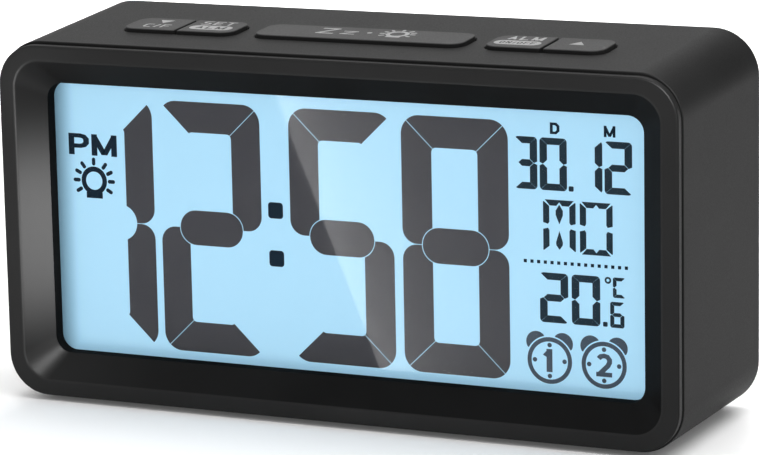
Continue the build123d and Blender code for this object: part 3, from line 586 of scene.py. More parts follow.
# Front bezel
bezel = {"rim": 1.6, "edge": 0.45, "trim": (0.0, 0.3), "ring": 3.4, "mouthRadius": 5.2, "mouthEdge": 0.8,
         "mouthSteps": 6, "slopeRun": 4.6, "slopeDepth": 4.2, "slopeStart": 0.16, "slopeNormal": (-0.85, -0.6),
         "backNormal": 0.9, "windowRadius": 3.05, "windowDepth": 6.8, "skirtDepth": 9.6, "skirtWall": 1.3,
         "skirtInset": 1.92, "support": 0.12, "bossRadius": 1.9, "bossPitch": 36.0, "bossEnd": 12.5, "bossRoot": 1.0,
         "bossGap": 0.15, "bossSteps": 4}


def makeBezel():
    fullWidth, fullHeight = bezelHigh.x - bezelLow.x, bezelHigh.z - bezelLow.z
    trimX, trimZ = bezel["trim"]
    outer = (fullWidth - 2 * trimX, fullHeight - 2 * trimZ, case["rimRadius"] - (rimHeight - fullHeight) / 2 - trimZ)
    mouth = (rimWidth - 2 * bezel["ring"], rimHeight - 2 * bezel["ring"], bezel["mouthRadius"])
    near, edge, run = bezel["support"], bezel["edge"], bezel["slopeRun"]
    window, skirtDepth, rim = bezel["windowDepth"], bezel["skirtDepth"], bezel["rim"]
    pitch = bezel["slopeDepth"] / run
    lean = math.atan(pitch)
    tangent = bezel["mouthEdge"] * math.tan(lean / 2)
    narrowing = (bezel["mouthRadius"] - bezel["windowRadius"]) / run

    def ring(depth, form, inward, shrink):
        outline = roundedOutline(form[0] - 2 * inward, form[1] - 2 * inward, form[2] - inward * shrink, (0, midZ))
        return standing(outline, depth)

    def outerRing(depth, inset):
        return ring(depth, outer, inset, 1)

    def mouthRing(depth, inward):
        return ring(depth, mouth, inward, narrowing if inward > 0 else 1)

    rings = [outerRing(rim, 0), outerRing(edge + near, 0)]
    rings += [outerRing(*pair) for pair in edgeArc(edge, edge, edge, 90, 0, 8)]
    rings += [outerRing(0, edge + near), mouthRing(0, -tangent - near)]
    for k in range(bezel["mouthSteps"] + 1):
        turn = lean * k / bezel["mouthSteps"]
        inward = bezel["mouthEdge"] * math.sin(turn) - tangent
        rings.append(mouthRing(bezel["mouthEdge"] * (1 - math.cos(turn)), inward))
    rings += [mouthRing(inward * pitch, inward) for inward in (tangent + near, run - near, run)]
    rings += [mouthRing(depth, run) for depth in (bezel["slopeDepth"] + near, window)]
    skirt, wall = bezel["skirtInset"] - trimX, bezel["skirtWall"]
    rings += [outerRing(depth, skirt + wall) for depth in (window, skirtDepth)]
    rings += [outerRing(depth, skirt) for depth in (skirtDepth, rim)]
    bosses = []
    bossX = outer[0] / 2 - skirt - bezel["bossRadius"] - bezel["bossGap"]
    for sx in (-1, 1):
        for sz in (-1, 1):
            bossAt = (sx * bossX, midZ + sz * bezel["bossPitch"] / 2)
            outline = circle(bezel["bossRadius"], bossAt, bezel["bossSteps"])
            bosses.append(skin([standing(outline, depth) for depth in (window - bezel["bossRoot"], bezel["bossEnd"])]))
    piece = makePiece("bezelFrame", [skin(rings, closed=True)] + bosses, finishes["bezelBlack"])
    slopeStart, wallStart = frontY + bezel["slopeStart"], frontY + bezel["slopeDepth"]
    steep, flat = bezel["slopeNormal"]
    # painted shade: the slopes take a darker copy of the bezel's black, and the window's wall and the back faces take
    # the darkest black
    refinish(piece, finishes["slopeBlack"],
             lambda middle, normal: middle.y > slopeStart and steep < normal.y < flat)
    refinish(piece, finishes["recessBlack"],
             lambda middle, normal: middle.y > wallStart or normal.y > bezel["backNormal"])
    return seat(piece, "housing", "bezel_black", "front_bezel")


# Key caps
def makeKey(name):
    centre, width, side = keyPlan[name]
    big, small = keys["radius"], keys["splitRadius"]
    right, left = (big if side >= 0 else small), (big if side <= 0 else small)
    low, high = keys["flange"]
    edge, proud, lip = keys["edge"], keys["proud"], keys["lip"]
    below, inside = keys["support"]
    trim = keys["splitTrim"] * abs(side)

    def capRing(up, inset):
        radii = [max(r - inset, keys["leastRadius"]) for r in (right, right, left, left)]
        capAt = (centre + side * trim / 2, 0)
        return keyRing(up, width - trim - 2 * inset, keys["length"] - 2 * inset, radii, capAt, 10)

    rings = [capRing(low, 0), capRing(proud - edge - below, 0)]
    rings += [capRing(proud - edge + edge * math.sin(a), edge - edge * math.cos(a)) for a in quarterTurn(6)]
    rings.append(capRing(proud, edge + inside))
    flangeWidth = width + (lip if side else 2 * lip)
    flangeAt = (centre + side * lip / 2, 0)
    flange = skin([keyRing(up, flangeWidth, keys["length"] + 2 * lip, keys["flangeRadius"], flangeAt, 2)
                   for up in (low, high)])
    stemWidth, stemAt = 2 * keys["stemRadius"], (centre, keys["stemAlong"])
    stem = skin([keyRing(up, stemWidth, stemWidth, keys["stemRadius"], stemAt, 4) for up in (keys["stemEnd"], low)])
    piece = makePiece(name + "KeyCap", [skin(rings), flange, stem], finishes["keyBlack"])
    # painted shade: the cap's sides take the darker bezel black, so they read as shaded against the lighter top
    refinish(piece, finishes["bezelBlack"], lambda middle, normal: normal.dot(keyUp) < keys["topNormal"])
    return seat(piece, name + "_button", "key_black", name + "_key")


makeCase()
makeFeet()
makeBezel()
for keyName in keyPlan:
    makeKey(keyName)
print("shells and keys made")


# Flat print: lists of shapes in a plane, each of points and faces
pillEase = 0.01  # keeps a pill's round ends from meeting
levelShare = 0.85  # weight of a letter's level strokes against its upright ones


def patch(points):
    return points, [tuple(range(len(points)))]


def disc(centre, radius, steps=24):
    return [patch(arcPoints(centre, radius, 0, 360, steps)[:-1])]


def ringBand(centre, outer, inner, steps=40):
    points = arcPoints(centre, outer, 0, 360, steps) + arcPoints(centre, inner, 0, 360, steps)
    count = steps + 1
    return [(points, [(k, k + 1, count + k + 1, count + k) for k in range(steps)])]


def square(centre, size, radius):
    return [patch(roundedOutline(size, size, radius, centre, 4))]


def pill(centre, width, height):
    return [patch(roundedOutline(width, height, height / 2 - pillEase, centre, 8))]


def triangle(centre, width, height):
    return [patch(moved([(-width / 2, -height / 2), (width / 2, -height / 2), (0, height / 2)], centre))]


def mirrored(points, x=False, z=False):
    turned = [(-px if x else px, -pz if z else pz) for px, pz in points]
    return turned[::-1] if x != z else turned


def moved(points, centre):
    return [(x + centre[0], z + centre[1]) for x, z in points]


# the middle line of each stroke, as shares of the letter's width and height
letterStrokes = {
    "A": (((0, 0), (0.5, 0.86), (1, 0)), ((0.2, 0.28), (0.8, 0.28))),
    "C": (((1, 1), (0.25, 1), (0, 0.85), (0, 0.15), (0.25, 0), (1, 0)),),
    "D": (((0, 0), (0, 1)), ((0, 1), (0.65, 1), (1, 0.75), (1, 0.25), (0.65, 0), (0, 0))),
    "E": (((1, 1), (0, 1), (0, 0), (1, 0)), ((0, 0.5), (0.85, 0.5))),
    "F": (((1, 1), (0, 1), (0, 0)), ((0, 0.48), (0.85, 0.48))),
    "L": (((0, 1), (0, 0), (1, 0)),),
    "M": (((0, 0), (0, 1)), ((0, 1), (0.45, 0.06), (0.55, 0.06), (1, 1)), ((1, 1), (1, 0))),
    "N": (((0, 0), (0, 1)), ((0, 1), (1, 0)), ((1, 0), (1, 1))),
    "O": (((0.5, 0), (0.75, 0), (1, 0.2), (1, 0.8), (0.75, 1), (0.25, 1), (0, 0.8), (0, 0.2), (0.25, 0), (0.5, 0)),),
    "P": (((0, 0), (0, 1)),
          ((0, 1), (0.6, 1), (0.85, 0.95), (1, 0.81), (1, 0.59), (0.85, 0.45), (0.6, 0.4), (0, 0.4))),
    "S": (((1, 1), (0.2, 1), (0, 0.85), (0, 0.65), (0.2, 0.5), (0.8, 0.5), (1, 0.35), (1, 0.15), (0.8, 0), (0, 0)),),
    "T": (((0, 1), (1, 1)), ((0.5, 1), (0.5, 0))),
    "Z": (((0, 1), (1, 1)), ((1, 1), (0, 0)), ((0, 0), (1, 0))),
    "/": (((0, 0), (1, 1)),),
    "1": (((0, 0.72), (0.62, 0.98)), ((0.62, 1), (0.62, 0))),
    "2": (((0, 0.84), (0.2, 0.96), (0.5, 1), (0.8, 0.96), (1, 0.8), (1, 0.66), (0.85, 0.48), (0.05, 0)),
          ((0, 0), (1, 0))),
}
letterWidths = {"M": 1.24, "/": 0.6}


def bentStroke(spots, upright, level):
    # one stroke of even weight: mitred bends, and square ends on its level and upright runs
    line = [Vector((x / upright, z / level)) for x, z in spots]
    runs = [(b - a).normalized() for a, b in zip(line, line[1:])]
    for end, way in ((0, -1), (-1, 1)):
        if min(map(abs, runs[end])) < 1e-6:
            line[end] = line[end] + way * runs[end] / 2
    sides = []
    for before, after in zip(runs[:1] + runs, runs + runs[-1:]):
        turned = Vector((-before.y - after.y, before.x + after.x))
        sides.append(turned / (2 + 2 * before.dot(after)))
    edges = [spot + way * side for way in (1, -1) for spot, side in zip(line, sides)]
    count = len(line)
    faces = [(k, count + k, count + k + 1, k + 1) for k in range(count - 1)]
    return [(edge.x * upright, edge.y * level) for edge in edges], faces


def writing(text, width, height, centre, upright, level=None, gap=0.3):
    # letters drawn with straight strokes, fitted to a width and a height
    level = level or levelShare * upright
    widths = [letterWidths.get(letter, 1.0) for letter in text]
    unit = width / (sum(widths) + gap * (len(text) - 1))
    left, low = centre[0] - width / 2 + upright / 2, centre[1] - height / 2 + level / 2
    shapes = []
    for letter, share in zip(text, widths):
        room = unit * share
        for line in letterStrokes[letter]:
            spots = [(left + x * (room - upright), low + z * (height - level)) for x, z in line]
            shapes.append(bentStroke(spots, upright, level))
        left += room + unit * gap
    return shapes


bulb = {"globe": (2.68, 1.72), "ray": (1.5, 0.72, 0.35), "rayAt": 3.62,
        "angles": (-30, 0, 26, 52, 90, 128, 154, 180, 210),
        "cap": [(1.7, -3.3), (1.7, -2.2), (1.3, -1.9), (-1.3, -1.9), (-1.7, -2.2), (-1.7, -3.3)]}


def bulbIcon(centre, scale):
    # globe, cap and rays of a small lamp sign
    outer, inner = bulb["globe"]
    shapes = ringBand(centre, outer * scale, inner * scale)
    shapes.append(patch(moved([(x * scale, z * scale) for x, z in bulb["cap"]], centre)))
    length, width, radius = (size * scale for size in bulb["ray"])
    ray = roundedOutline(length, width, radius, (bulb["rayAt"] * scale, 0), 4)
    for angle in bulb["angles"]:
        c, s = math.cos(math.radians(angle)), math.sin(math.radians(angle))
        shapes.append(patch(moved([(x * c - z * s, x * s + z * c) for x, z in ray], centre)))
    return shapes


# figures: width, shift and weight of each
alarmIcon = {"face": (4.25, 3.46), "dotAt": 2.82, "dot": 0.43, "bellAt": (2.5, 3.25), "bell": (1.95, -30, 138),
             "bellFloor": 4.5, "height": 4.2, "level": 0.82, "figures": {"1": (2.4, -0.2, 1.12), "2": (3.0, 0, 0.95)}}


def alarmSign(centre, figure):
    # a small clock face with two bells and a figure
    shapes = ringBand(centre, *alarmIcon["face"])
    for angle in (0, 90, 180, 270):
        shapes += disc(arcPoints(centre, alarmIcon["dotAt"], angle, 0, 1)[0], alarmIcon["dot"], 12)
    bell = arcPoints(alarmIcon["bellAt"], *alarmIcon["bell"], 16)
    first, last = (math.degrees(math.atan2(bell[i][1], bell[i][0])) for i in (-1, 0))
    bell += arcPoints((0, 0), alarmIcon["bellFloor"], first, last, 10)
    shapes += [patch(moved(points, centre)) for points in (bell, mirrored(bell, x=True))]
    width, shift, weight = alarmIcon["figures"][figure]
    return shapes + writing(figure, width, alarmIcon["height"], (centre[0] + shift, centre[1]), weight,
                            alarmIcon["level"])


digitBars = {"0": "abcdef", "1": "bc", "2": "abged", "3": "abgcd", "5": "afgcd", "6": "afgedc", "8": "abcdefg",
             "C": "afed"}
bigDigit = {"width": 20.6, "height": 46.9, "stroke": 5.86, "bar": 5.68, "outer": 3.5, "inner": 0.9, "waist": 2.8,
            "pillLength": 12.8, "pillHeight": 6.5, "slit": 0.11, "pillSlit": 0.14, "middle": -0.8,
            "show": {"1": -49.3, "2": -27.29, "5": -0.89, "8": 21.39}}


def allBars(top, side, middle):
    # named a to g, clockwise from the top, with g in the middle
    return {"a": top, "b": side, "c": mirrored(side, z=True), "d": mirrored(top, z=True),
            "e": mirrored(side, x=True, z=True), "f": mirrored(side, x=True), "g": middle}


def bigBars():
    # bars of one large digit, with a pill in the middle
    d = bigDigit
    halfX, halfZ = d["width"] / 2, d["height"] / 2
    outer, inner, waist = d["outer"], d["inner"], d["waist"]
    outerAt = (halfX - outer, halfZ - outer)
    innerAt = (halfX - d["stroke"] - inner, halfZ - d["bar"] - inner)
    rise = d["slit"] / 2
    outerSlit, innerSlit = (math.degrees(math.asin(rise / radius)) for radius in (outer, inner))
    right = arcPoints(outerAt, outer, 45 + outerSlit, 90, 6)
    inside = arcPoints(innerAt, inner, 90, 45 + innerSlit, 4)
    top = right + mirrored(right, x=True) + mirrored(inside, x=True) + inside
    pillRound = d["pillHeight"] / 2
    pillAt = d["pillLength"] / 2 - pillRound
    bite = pillRound + d["pillSlit"]
    high = math.degrees(math.acos((halfX - d["stroke"] - pillAt) / bite))
    side = arcPoints((halfX - waist, rise + waist), waist, -90, 0, 8)
    side += arcPoints(outerAt, outer, 0, 45 - outerSlit, 6)
    side += arcPoints(innerAt, inner, 45 - innerSlit, 0, 4)
    side += arcPoints((pillAt, 0), bite, high, math.degrees(math.asin(rise / bite)), 10)
    middle = arcPoints((pillAt, 0), pillRound, -90, 90, 16) + arcPoints((-pillAt, 0), pillRound, 90, 270, 16)
    return allBars(top, side, middle)


smallShares = {"bend": 0.6, "point": 0.45, "heel": 0.2, "notch": 0.5, "flank": 0.55}  # of a bar's weight


def smallBars(width, height, upright, level, slit):
    # bars of one small digit: mitred corners, rounded outside, and a pointed bar in the middle
    x, z, t, b, gap = width / 2, height / 2, upright, level, slit / 2
    point, heel, notch = (smallShares[key] * t for key in ("point", "heel", "notch"))
    bend = smallShares["bend"] * level
    bendAt = (x - bend, z - bend)
    right = arcPoints(bendAt, bend, 46, 90, 4)
    top = right + mirrored(right, x=True) + [(-x + t + gap, z - b), (x - t - gap, z - b)]
    side = [(x - point, gap), (x, heel + gap)] + arcPoints(bendAt, bend, 0, 44, 4)
    side += [(x - t, z - b - gap), (x - t, notch + gap)]
    tip = x - notch - slit
    flank = tip - smallShares["flank"] * b
    middle = [(tip, 0), (flank, b / 2), (-flank, b / 2), (-tip, 0), (-flank, -b / 2), (flank, -b / 2)]
    return allBars(top, side, middle)


def digitShapes(bars, figure, centre):
    return [patch(moved(bars[name], centre)) for name in digitBars[figure]]


def bigDigits():
    bars = bigBars()
    return [shape for figure, x in bigDigit["show"].items()
            for shape in digitShapes(bars, figure, (x, bigDigit["middle"]))]


def smallDigit(figure, centre, size):
    return digitShapes(smallBars(*size), figure, centre)


dayBars = {"half": (3.07, 4.71), "weight": (1.18, 1.05), "slit": 0.08}


def dayLetter(letter, centre):
    # strokes in two halves, with a notch in the level bars
    (x, z), (t, b), slit = dayBars["half"], dayBars["weight"], dayBars["slit"]
    bar = [(x - 0.35, z), (-x + 0.35, z), (-x + t + slit, z - b), (-0.55, z - b), (0, z - 0.4), (0.55, z - b),
           (x - t - slit, z - b)]
    side = [(x - t + 0.25, 0.35), (x, 0.6), (x, z - 0.4), (x - 0.12, z - 0.3), (x - t, z - b - slit), (x - t, 0.75)]
    shapes = [bar, side, mirrored(side, x=True), mirrored(side, z=True), mirrored(side, x=True, z=True)]
    if letter == "M":
        shapes.append([(0, z - 0.8), (-0.68, z - 1.9), (-0.68, z - 2.7), (0, z - 4.35), (0.68, z - 2.7),
                       (0.68, z - 1.9)])
        shapes.append([(0, z - 5.5), (-0.66, z - 7.6), (-0.6, z - 8.1), (0, z - 8.9), (0.6, z - 8.1), (0.66, z - 7.6)])
    else:
        shapes.append(mirrored(bar, z=True))
    return [patch(moved(points, centre)) for points in shapes]


# Display: each piece of print with its ink and its signs, by place from the middle of the window
panel = {"inkDepth": 8.07, "hair": 0.0004}
dateSize = (5.12, 9.36, 1.4, 1.22, 0.02)  # width, height, weight of upright and level bars, slit
warmthSize = (5.36, 9.0, 1.44, 1.27, 0.02)
displayPlan = {
    "hourAndMinute": ("inkGrey", ((bigDigits,),)),
    "hourSigns": ("inkNavy", (
        (square, (-14.14, 3.5), 3.0, 0.6),
        (square, (-14.14, -5.43), 3.0, 0.6),
        (writing, "PM", 10.14, 4.02, (-51.57, 13.46), 1.2, 0.8, 0.12),
        (bulbIcon, (-51.5, 6.7), 1.0),
        (writing, "D", 1.8, 2.05, (40.57, 21.72), 0.54),
        (writing, "M", 2.15, 2.0, (50.82, 21.72), 0.5))),
    "dateAndSigns": ("inkSlate", (
        (smallDigit, "3", (35.08, 15.32), (4.28, *dateSize[1:])),
        (smallDigit, "0", (40.24, 15.32), dateSize),
        (smallDigit, "1", (46.86, 15.32), dateSize),
        (smallDigit, "2", (52.39, 15.32), dateSize),
        (square, (43.57, 11.14), 0.93, 0.2),
        (dayLetter, "M", (41.29, 4.29)),
        (dayLetter, "O", (48.21, 4.29)),
        (smallDigit, "2", (40.16, -8.64), warmthSize),
        (smallDigit, "0", (46.18, -8.64), warmthSize),
        (square, (49.79, -12.64), 0.86, 0.2),
        (smallDigit, "6", (52.04, -10.82), (2.65, 4.64, 0.76, 0.68, 0.03)),
        (smallDigit, "C", (52.4, -5.93), (2.3, 3.65, 0.68, 0.62, 0.03)),
        (ringBand, (50.33, -4.71), 0.62, 0.28, 20))),
    "alarmSigns": ("inkPale", ((alarmSign, (39.21, -20.07), "1"), (alarmSign, (49.5, -20.07), "2"))),
}
dotRow = {"count": 16, "start": (34.76, -2.29), "pitch": 1.268, "size": 0.6}


def printSigns(name, signs, finishName, place):
    # each shape lies a hair in front of the one before
    shapes = [shape for make, *values in signs for shape in make(*values)]
    parts = [([place(x, z, panel["hair"] * k) for x, z in points], faces) for k, (points, faces) in enumerate(shapes)]
    return makePiece(name, parts, finishes[finishName], solid=False)


def onPanel(x, z, lift=0.0):
    return (x, frontY + panel["inkDepth"] - lift, midZ + z)


def makeDisplay():
    for name, (inkName, signs) in displayPlan.items():
        seat(printSigns(name, signs, inkName, onPanel), "housing", "lcd")
    values = {"Count": dotRow["count"], "Start": [c * mm for c in onPanel(*dotRow["start"])],
              "Pitch": (dotRow["pitch"] * mm, 0, 0), "Size": dotRow["size"] * mm, "Finish": finishes["inkNavy"]}
    seat(runTree("dottedLine", rowTree, values), "housing", "lcd")


makeDisplay()
print("display made")


# Legends: each with its key, its finish, its lift above the cap and its signs
legend = {"lift": 0.012, "pillLift": 0.024}
legendPlan = {
    "downLegend": ("down", "legendGrey", "lift", (
        (triangle, (-41.5, 1.9), -2.9, -2.4), (writing, "C/F", 5.2, 2.5, (-41.5, -1.6), 0.46))),
    "setLegend": ("set", "legendGrey", "lift", (
        (writing, "SET", 6.6, 2.7, (-30.6, 2.5), 0.5), (pill, (-30.5, -1.25), 8.6, 3.3))),
    "setPillText": ("set", "keyBlack", "pillLift", ((writing, "ALM", 6.0, 2.0, (-30.5, -1.25), 0.42),)),
    "snoozeLegend": ("snooze", "legendGrey", "lift", (
        (writing, "Z", 3.5, 4.4, (-7.7, 1.0), 0.7), (writing, "Z", 2.9, 2.6, (-3.2, 0.3), 0.55),
        (disc, (0.6, 0.9), 0.5), (bulbIcon, (6.1, 1.0), 0.82))),
    "alarmLegend": ("alarm", "legendGrey", "lift", (
        (writing, "ALM", 6.8, 2.7, (30.6, 2.6), 0.52), (pill, (30.3, -1.1), 8.9, 3.2))),
    "alarmPillText": ("alarm", "keyBlack", "pillLift", ((writing, "ON/OFF", 6.8, 1.7, (30.3, -1.1), 0.32),)),
    "upLegend": ("up", "legendGrey", "lift", ((triangle, (41.2, 0.8), 2.9, 2.5),)),
}


def makeLegends():
    for name, (keyName, finishName, liftName, signs) in legendPlan.items():
        top = keys["proud"] + legend[liftName]
        piece = printSigns(name, signs, finishName, lambda x, along, lift: onKeys(x, along, top + lift))
        seat(piece, keyName + "_button", "key_black")


makeLegends()
print("legends made")


# Rear cover with the battery bay
cover = {"thickness": 2.4, "radius": 6.45, "edge": 0.4, "support": 0.1, "bayHalf": (25.4, 11.1), "bayDrop": 3.0,
         "bayWall": 1.4, "bayFloor": 26.7, "seatHalf": (26.95, 12.65), "seatDepth": 1.6, "notch": (7.0, 2.4, 1.5),
         "screwInset": (6.8, 8.8), "sinkRadius": 2.95, "sinkDepth": 1.4, "holeRadius": 1.575, "plugSteps": 6,
         "sideX": 46.0, "soundRadius": 1.0, "soundRing": 4.6, "soundCount": 6, "vent": (14.0, 1.6, 0.79),
         "ventPitch": 3.4, "ventCount": 5, "hookX": 17.0, "hookHalf": 3.4, "hookDepth": 33.6, "hookOver": (0.01, 0.5),
         "reach": (3, 5)}
coverBack = coverHigh.y - frontY
coverFront = coverBack - cover["thickness"]
coverMidZ = (coverLow.z + coverHigh.z) / 2
bayMidZ = coverMidZ - cover["bayDrop"]
coverWidth, coverHeight = coverHigh.x - coverLow.x, coverHigh.z - coverLow.z
screwX, screwZ = coverWidth / 2 - cover["screwInset"][0], coverHeight / 2 - cover["screwInset"][1]
screwPlaces = [(sx * screwX, coverMidZ + sz * screwZ) for sx in (-1, 1) for sz in (-1, 1)]


def coverBox(name, halfX, lowZ, highZ, firstDepth, lastDepth, middles=(0,)):
    return makePiece(name, [slab((x - halfX, frontY + firstDepth, lowZ), (x + halfX, frontY + lastDepth, highZ))
                            for x in middles])


def drill(piece, name, size, length, depth, places):
    # holes or slots of one size, along Y from one depth
    outline = roundedOutline(*size, steps=cover["plugSteps"])
    plug = skin([[(x, y, z) for x, z in outline] for y in (0, length)])
    carve(piece, scatter(name, plug, [(x, frontY + depth, z) for x, z in places]))


def roundSize(radius):
    return (2 * radius, 2 * radius, radius)


def makeCover():
    edge = cover["edge"]
    section = [(coverFront, 0), (coverBack - edge - cover["support"], 0)]
    section += edgeArc(coverBack - edge, edge, edge, 90, 180, 5)
    rings = [standing(roundedOutline(coverWidth - 2 * inset, coverHeight - 2 * inset, cover["radius"] - inset,
                                     (0, coverMidZ)), depth) for depth, inset in section]
    piece = makePiece("coverPlate", [skin(rings)], finishes["caseBlack"])
    halfX, halfZ = cover["bayHalf"]
    wall, floorDepth, past = cover["bayWall"], cover["bayFloor"], coverBack + overrun
    low, high = bayMidZ - halfZ, bayMidZ + halfZ
    carve(piece, coverBox("bayOutside", halfX + wall, low - wall, high + wall, floorDepth - wall,
                          coverFront + overrun), "UNION")
    carve(piece, coverBox("bayInside", halfX, low, high, floorDepth, past))
    seatX, seatZ = cover["seatHalf"]
    seatLow, seatHigh = bayMidZ - seatZ, bayMidZ + seatZ
    doorFront = coverBack - cover["seatDepth"]
    carve(piece, coverBox("doorSeat", seatX, seatLow, seatHigh, doorFront, past))
    notchX, notchZ, notchDepth = cover["notch"]
    carve(piece, coverBox("doorNotch", notchX, seatHigh - overrun, seatHigh + notchZ, coverBack - notchDepth, past))
    overZ, overY = cover["hookOver"]
    carve(piece, coverBox("hookSlots", cover["hookHalf"], seatLow, low + overZ, cover["hookDepth"],
                          doorFront + overY, (-cover["hookX"], cover["hookX"])))
    through, side = coverFront - overrun, cover["sideX"]
    short, long = cover["reach"]
    drill(piece, "screwSinks", roundSize(cover["sinkRadius"]), short, coverBack - cover["sinkDepth"], screwPlaces)
    drill(piece, "screwHoles", roundSize(cover["holeRadius"]), short, through, screwPlaces)
    sounds = [(-side, coverMidZ)]
    sounds += arcPoints((-side, coverMidZ), cover["soundRing"], 0, 360, cover["soundCount"])[:-1]
    drill(piece, "soundHoles", roundSize(cover["soundRadius"]), long, through, sounds)
    middle = (cover["ventCount"] - 1) / 2
    vents = [(side, coverMidZ + cover["ventPitch"] * (k - middle)) for k in range(cover["ventCount"])]
    drill(piece, "ventSlots", cover["vent"], long, through, vents)
    return seat(piece, "housing", "case_black", "rear_cover")


# Screws of the rear cover: pan heads with a cross
screw = {"headRadius": 2.6, "headHeight": 1.3, "dome": (0.45, 0.9), "shankRadius": 1.4, "shankLength": 8.0,
         "cross": (3.0, 0.62, 0.75), "spin": (12, -31, 55, 78), "steps": 8}


def makeScrews():
    top, (dome, domeRun), radius = screw["headHeight"], screw["dome"], screw["headRadius"]
    section = [(-screw["shankLength"], screw["shankRadius"]), (0, screw["shankRadius"]), (0, radius),
               (top - dome, radius)]
    section += [(top - dome + dome * math.sin(a), radius - domeRun + domeRun * math.cos(a))
                for a in quarterTurn(6)[1:]]
    head = makePiece("screwShape", [turnedShape(section, screw["steps"])])
    long, thin, deep = screw["cross"]
    for halfX, halfY in ((long / 2, thin / 2), (thin / 2, long / 2)):
        carve(head, makePiece("crossBlade", [slab((-halfX, -halfY, top - deep), (halfX, halfY, top + overrun))]))
    seatY = frontY + coverBack - cover["sinkDepth"]
    points = [((x, seatY, z), (-90, spin, 0)) for (x, z), spin in zip(screwPlaces, screw["spin"])]
    piece = runTree("coverScrews", scatterTree, {"Item": head, "Finish": finishes["zincSteel"]}, points)
    bpy.data.objects.remove(head)
    return seat(piece, "housing", "screw", "case_screws")


# Battery door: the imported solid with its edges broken
door = {"edge": 0.12, "edgeSteps": 2, "sharpFrom": 40, "flatWithin": 1, "weld": 1e-6}


def makeDoor():
    mesh = frame["nodes"]["battery_door"].data.copy()
    work = bmesh.new()
    work.from_mesh(mesh)
    bmesh.ops.remove_doubles(work, verts=work.verts[:], dist=door["weld"])
    bmesh.ops.dissolve_limit(work, angle_limit=math.radians(door["flatWithin"]), verts=work.verts[:],
                             edges=work.edges[:])
    work.to_mesh(mesh)
    work.free()
    piece = addObject("doorPanel", mesh)
    soften = piece.modifiers.new("soften", "BEVEL")
    soften.width = door["edge"] * mm
    soften.segments = door["edgeSteps"]
    soften.limit_method = "ANGLE"
    soften.angle_limit = math.radians(door["sharpFrom"])
    return seat(shadeByAngle(bakeModifiers(piece)), "door", "case_black", "battery_door")


# Cells and their springs
cell = {"radius": 5.2, "length": 43.6, "pitch": 11.0, "nubRadius": 1.9, "nubHeight": 0.9, "nubEdge": (0.2, 0.25),
        "edge": 0.5, "endRim": 0.3, "depth": 32.3, "shoulder": 23.6, "bareRadius": 4.1, "roughness": (0.25, 0.4),
        "label": ((0.10, 0.10, 0.11), (0.13, 0.13, 0.143)), "steel": (0.55, 0.65),
        "patches": (120, 900, 1500), "steps": 12}
spring = {"turns": 3.5, "wire": 0.35, "radius": (3.3, 2.3), "height": 4.0, "foot": 24.65}


def cellJacket():
    # plain jacket, with bare metal inside the folded rims at both ends
    material, tree, shader, place = openMaterial("cellJacket")
    axes = axesOf(tree, place)
    fromMid = maths(tree, "ABSOLUTE", maths(tree, "SUBTRACT", axes["Z"], bayMidZ * mm))
    offZ = maths(tree, "SUBTRACT", fromMid, cell["pitch"] / 2 * mm)
    offY = maths(tree, "SUBTRACT", axes["Y"], (frontY + cell["depth"]) * mm)
    squares = [maths(tree, "MULTIPLY", off, off) for off in (offZ, offY)]
    bare = maths(tree, "LESS_THAN", maths(tree, "SQRT", maths(tree, "ADD", *squares)), cell["bareRadius"] * mm)
    labelNoise, steelNoise, glossNoise = (noise(tree, place, scale) for scale in cell["patches"])
    tone = addNode(tree, "ShaderNodeMix", {
        "Factor": bare, "A": blendColours(tree, labelNoise, *cell["label"]),
        "B": blendColours(tree, steelNoise, *cell["steel"])}, data_type="RGBA")
    feed(shader, {"Base Color": tone["Result"], "Metallic": bare,
                  "Roughness": remap(tree, glossNoise, noiseSpan, cell["roughness"])})
    return material


def bayPoints(x):
    # one place for each cell, turned end for end
    return [((side * x, frontY + cell["depth"], bayMidZ + side * cell["pitch"] / 2), (0, side * 90, 0))
            for side in (-1, 1)]


def makeCells():
    radius, edge, length = cell["radius"], cell["edge"], cell["length"]
    section = [(0, radius - edge - cell["endRim"])]
    section += [(edge - edge * math.cos(a), radius - edge + edge * math.sin(a)) for a in quarterTurn(5)]
    section += [(length - height, r) for height, r in section[::-1]]
    nub, top, (drop, inset) = cell["nubRadius"], length + cell["nubHeight"], cell["nubEdge"]
    section += [(length, nub), (top - drop, nub), (top, nub - inset)]
    finishes["cellJacket"] = cellJacket()
    item = makePiece("cellShape", [turnedShape(section, cell["steps"])])
    values = {"Item": item, "Finish": finishes["cellJacket"]}
    cells = runTree("drycells", scatterTree, values, bayPoints(cell["shoulder"] - length))
    bpy.data.objects.remove(item)
    seat(cells, "housing", "cell", "battery_cells")
    first, last = spring["radius"]
    values = {"Turns": spring["turns"], "Start": first * mm, "End": last * mm, "Height": spring["height"] * mm,
              "Wire": spring["wire"] * mm, "Finish": finishes["nickelSteel"]}
    coils = runTree("coneSprings", coilTree, values, bayPoints(-spring["foot"]))
    seat(coils, "housing", "contact", "contact_springs")


makeCover()
makeScrews()
makeDoor()
makeCells()
print("back made")


# Stage, light and camera
studio = {"floor": 6.0, "floorColour": (0.93, 0.93, 0.93), "floorTint": 0.985, "floorPatch": 3, "floorRough": 0.9,
          "floorLift": (0.06, 0.5), "liftFrom": (0.35, 1.1), "worldLight": (0.6, 1.0)}
topBox = {"place": (0.16, 0.1, 0.9), "target": (0, 0, 0.03), "power": 8.0, "shape": "RECTANGLE", "size": 0.9,
          "size_y": 0.9}
backBox = {"place": (-0.25, 0.95, 0.25), "target": (0, 0.02, 0.035), "power": 10.0, "shape": "DISK", "size": 0.4}
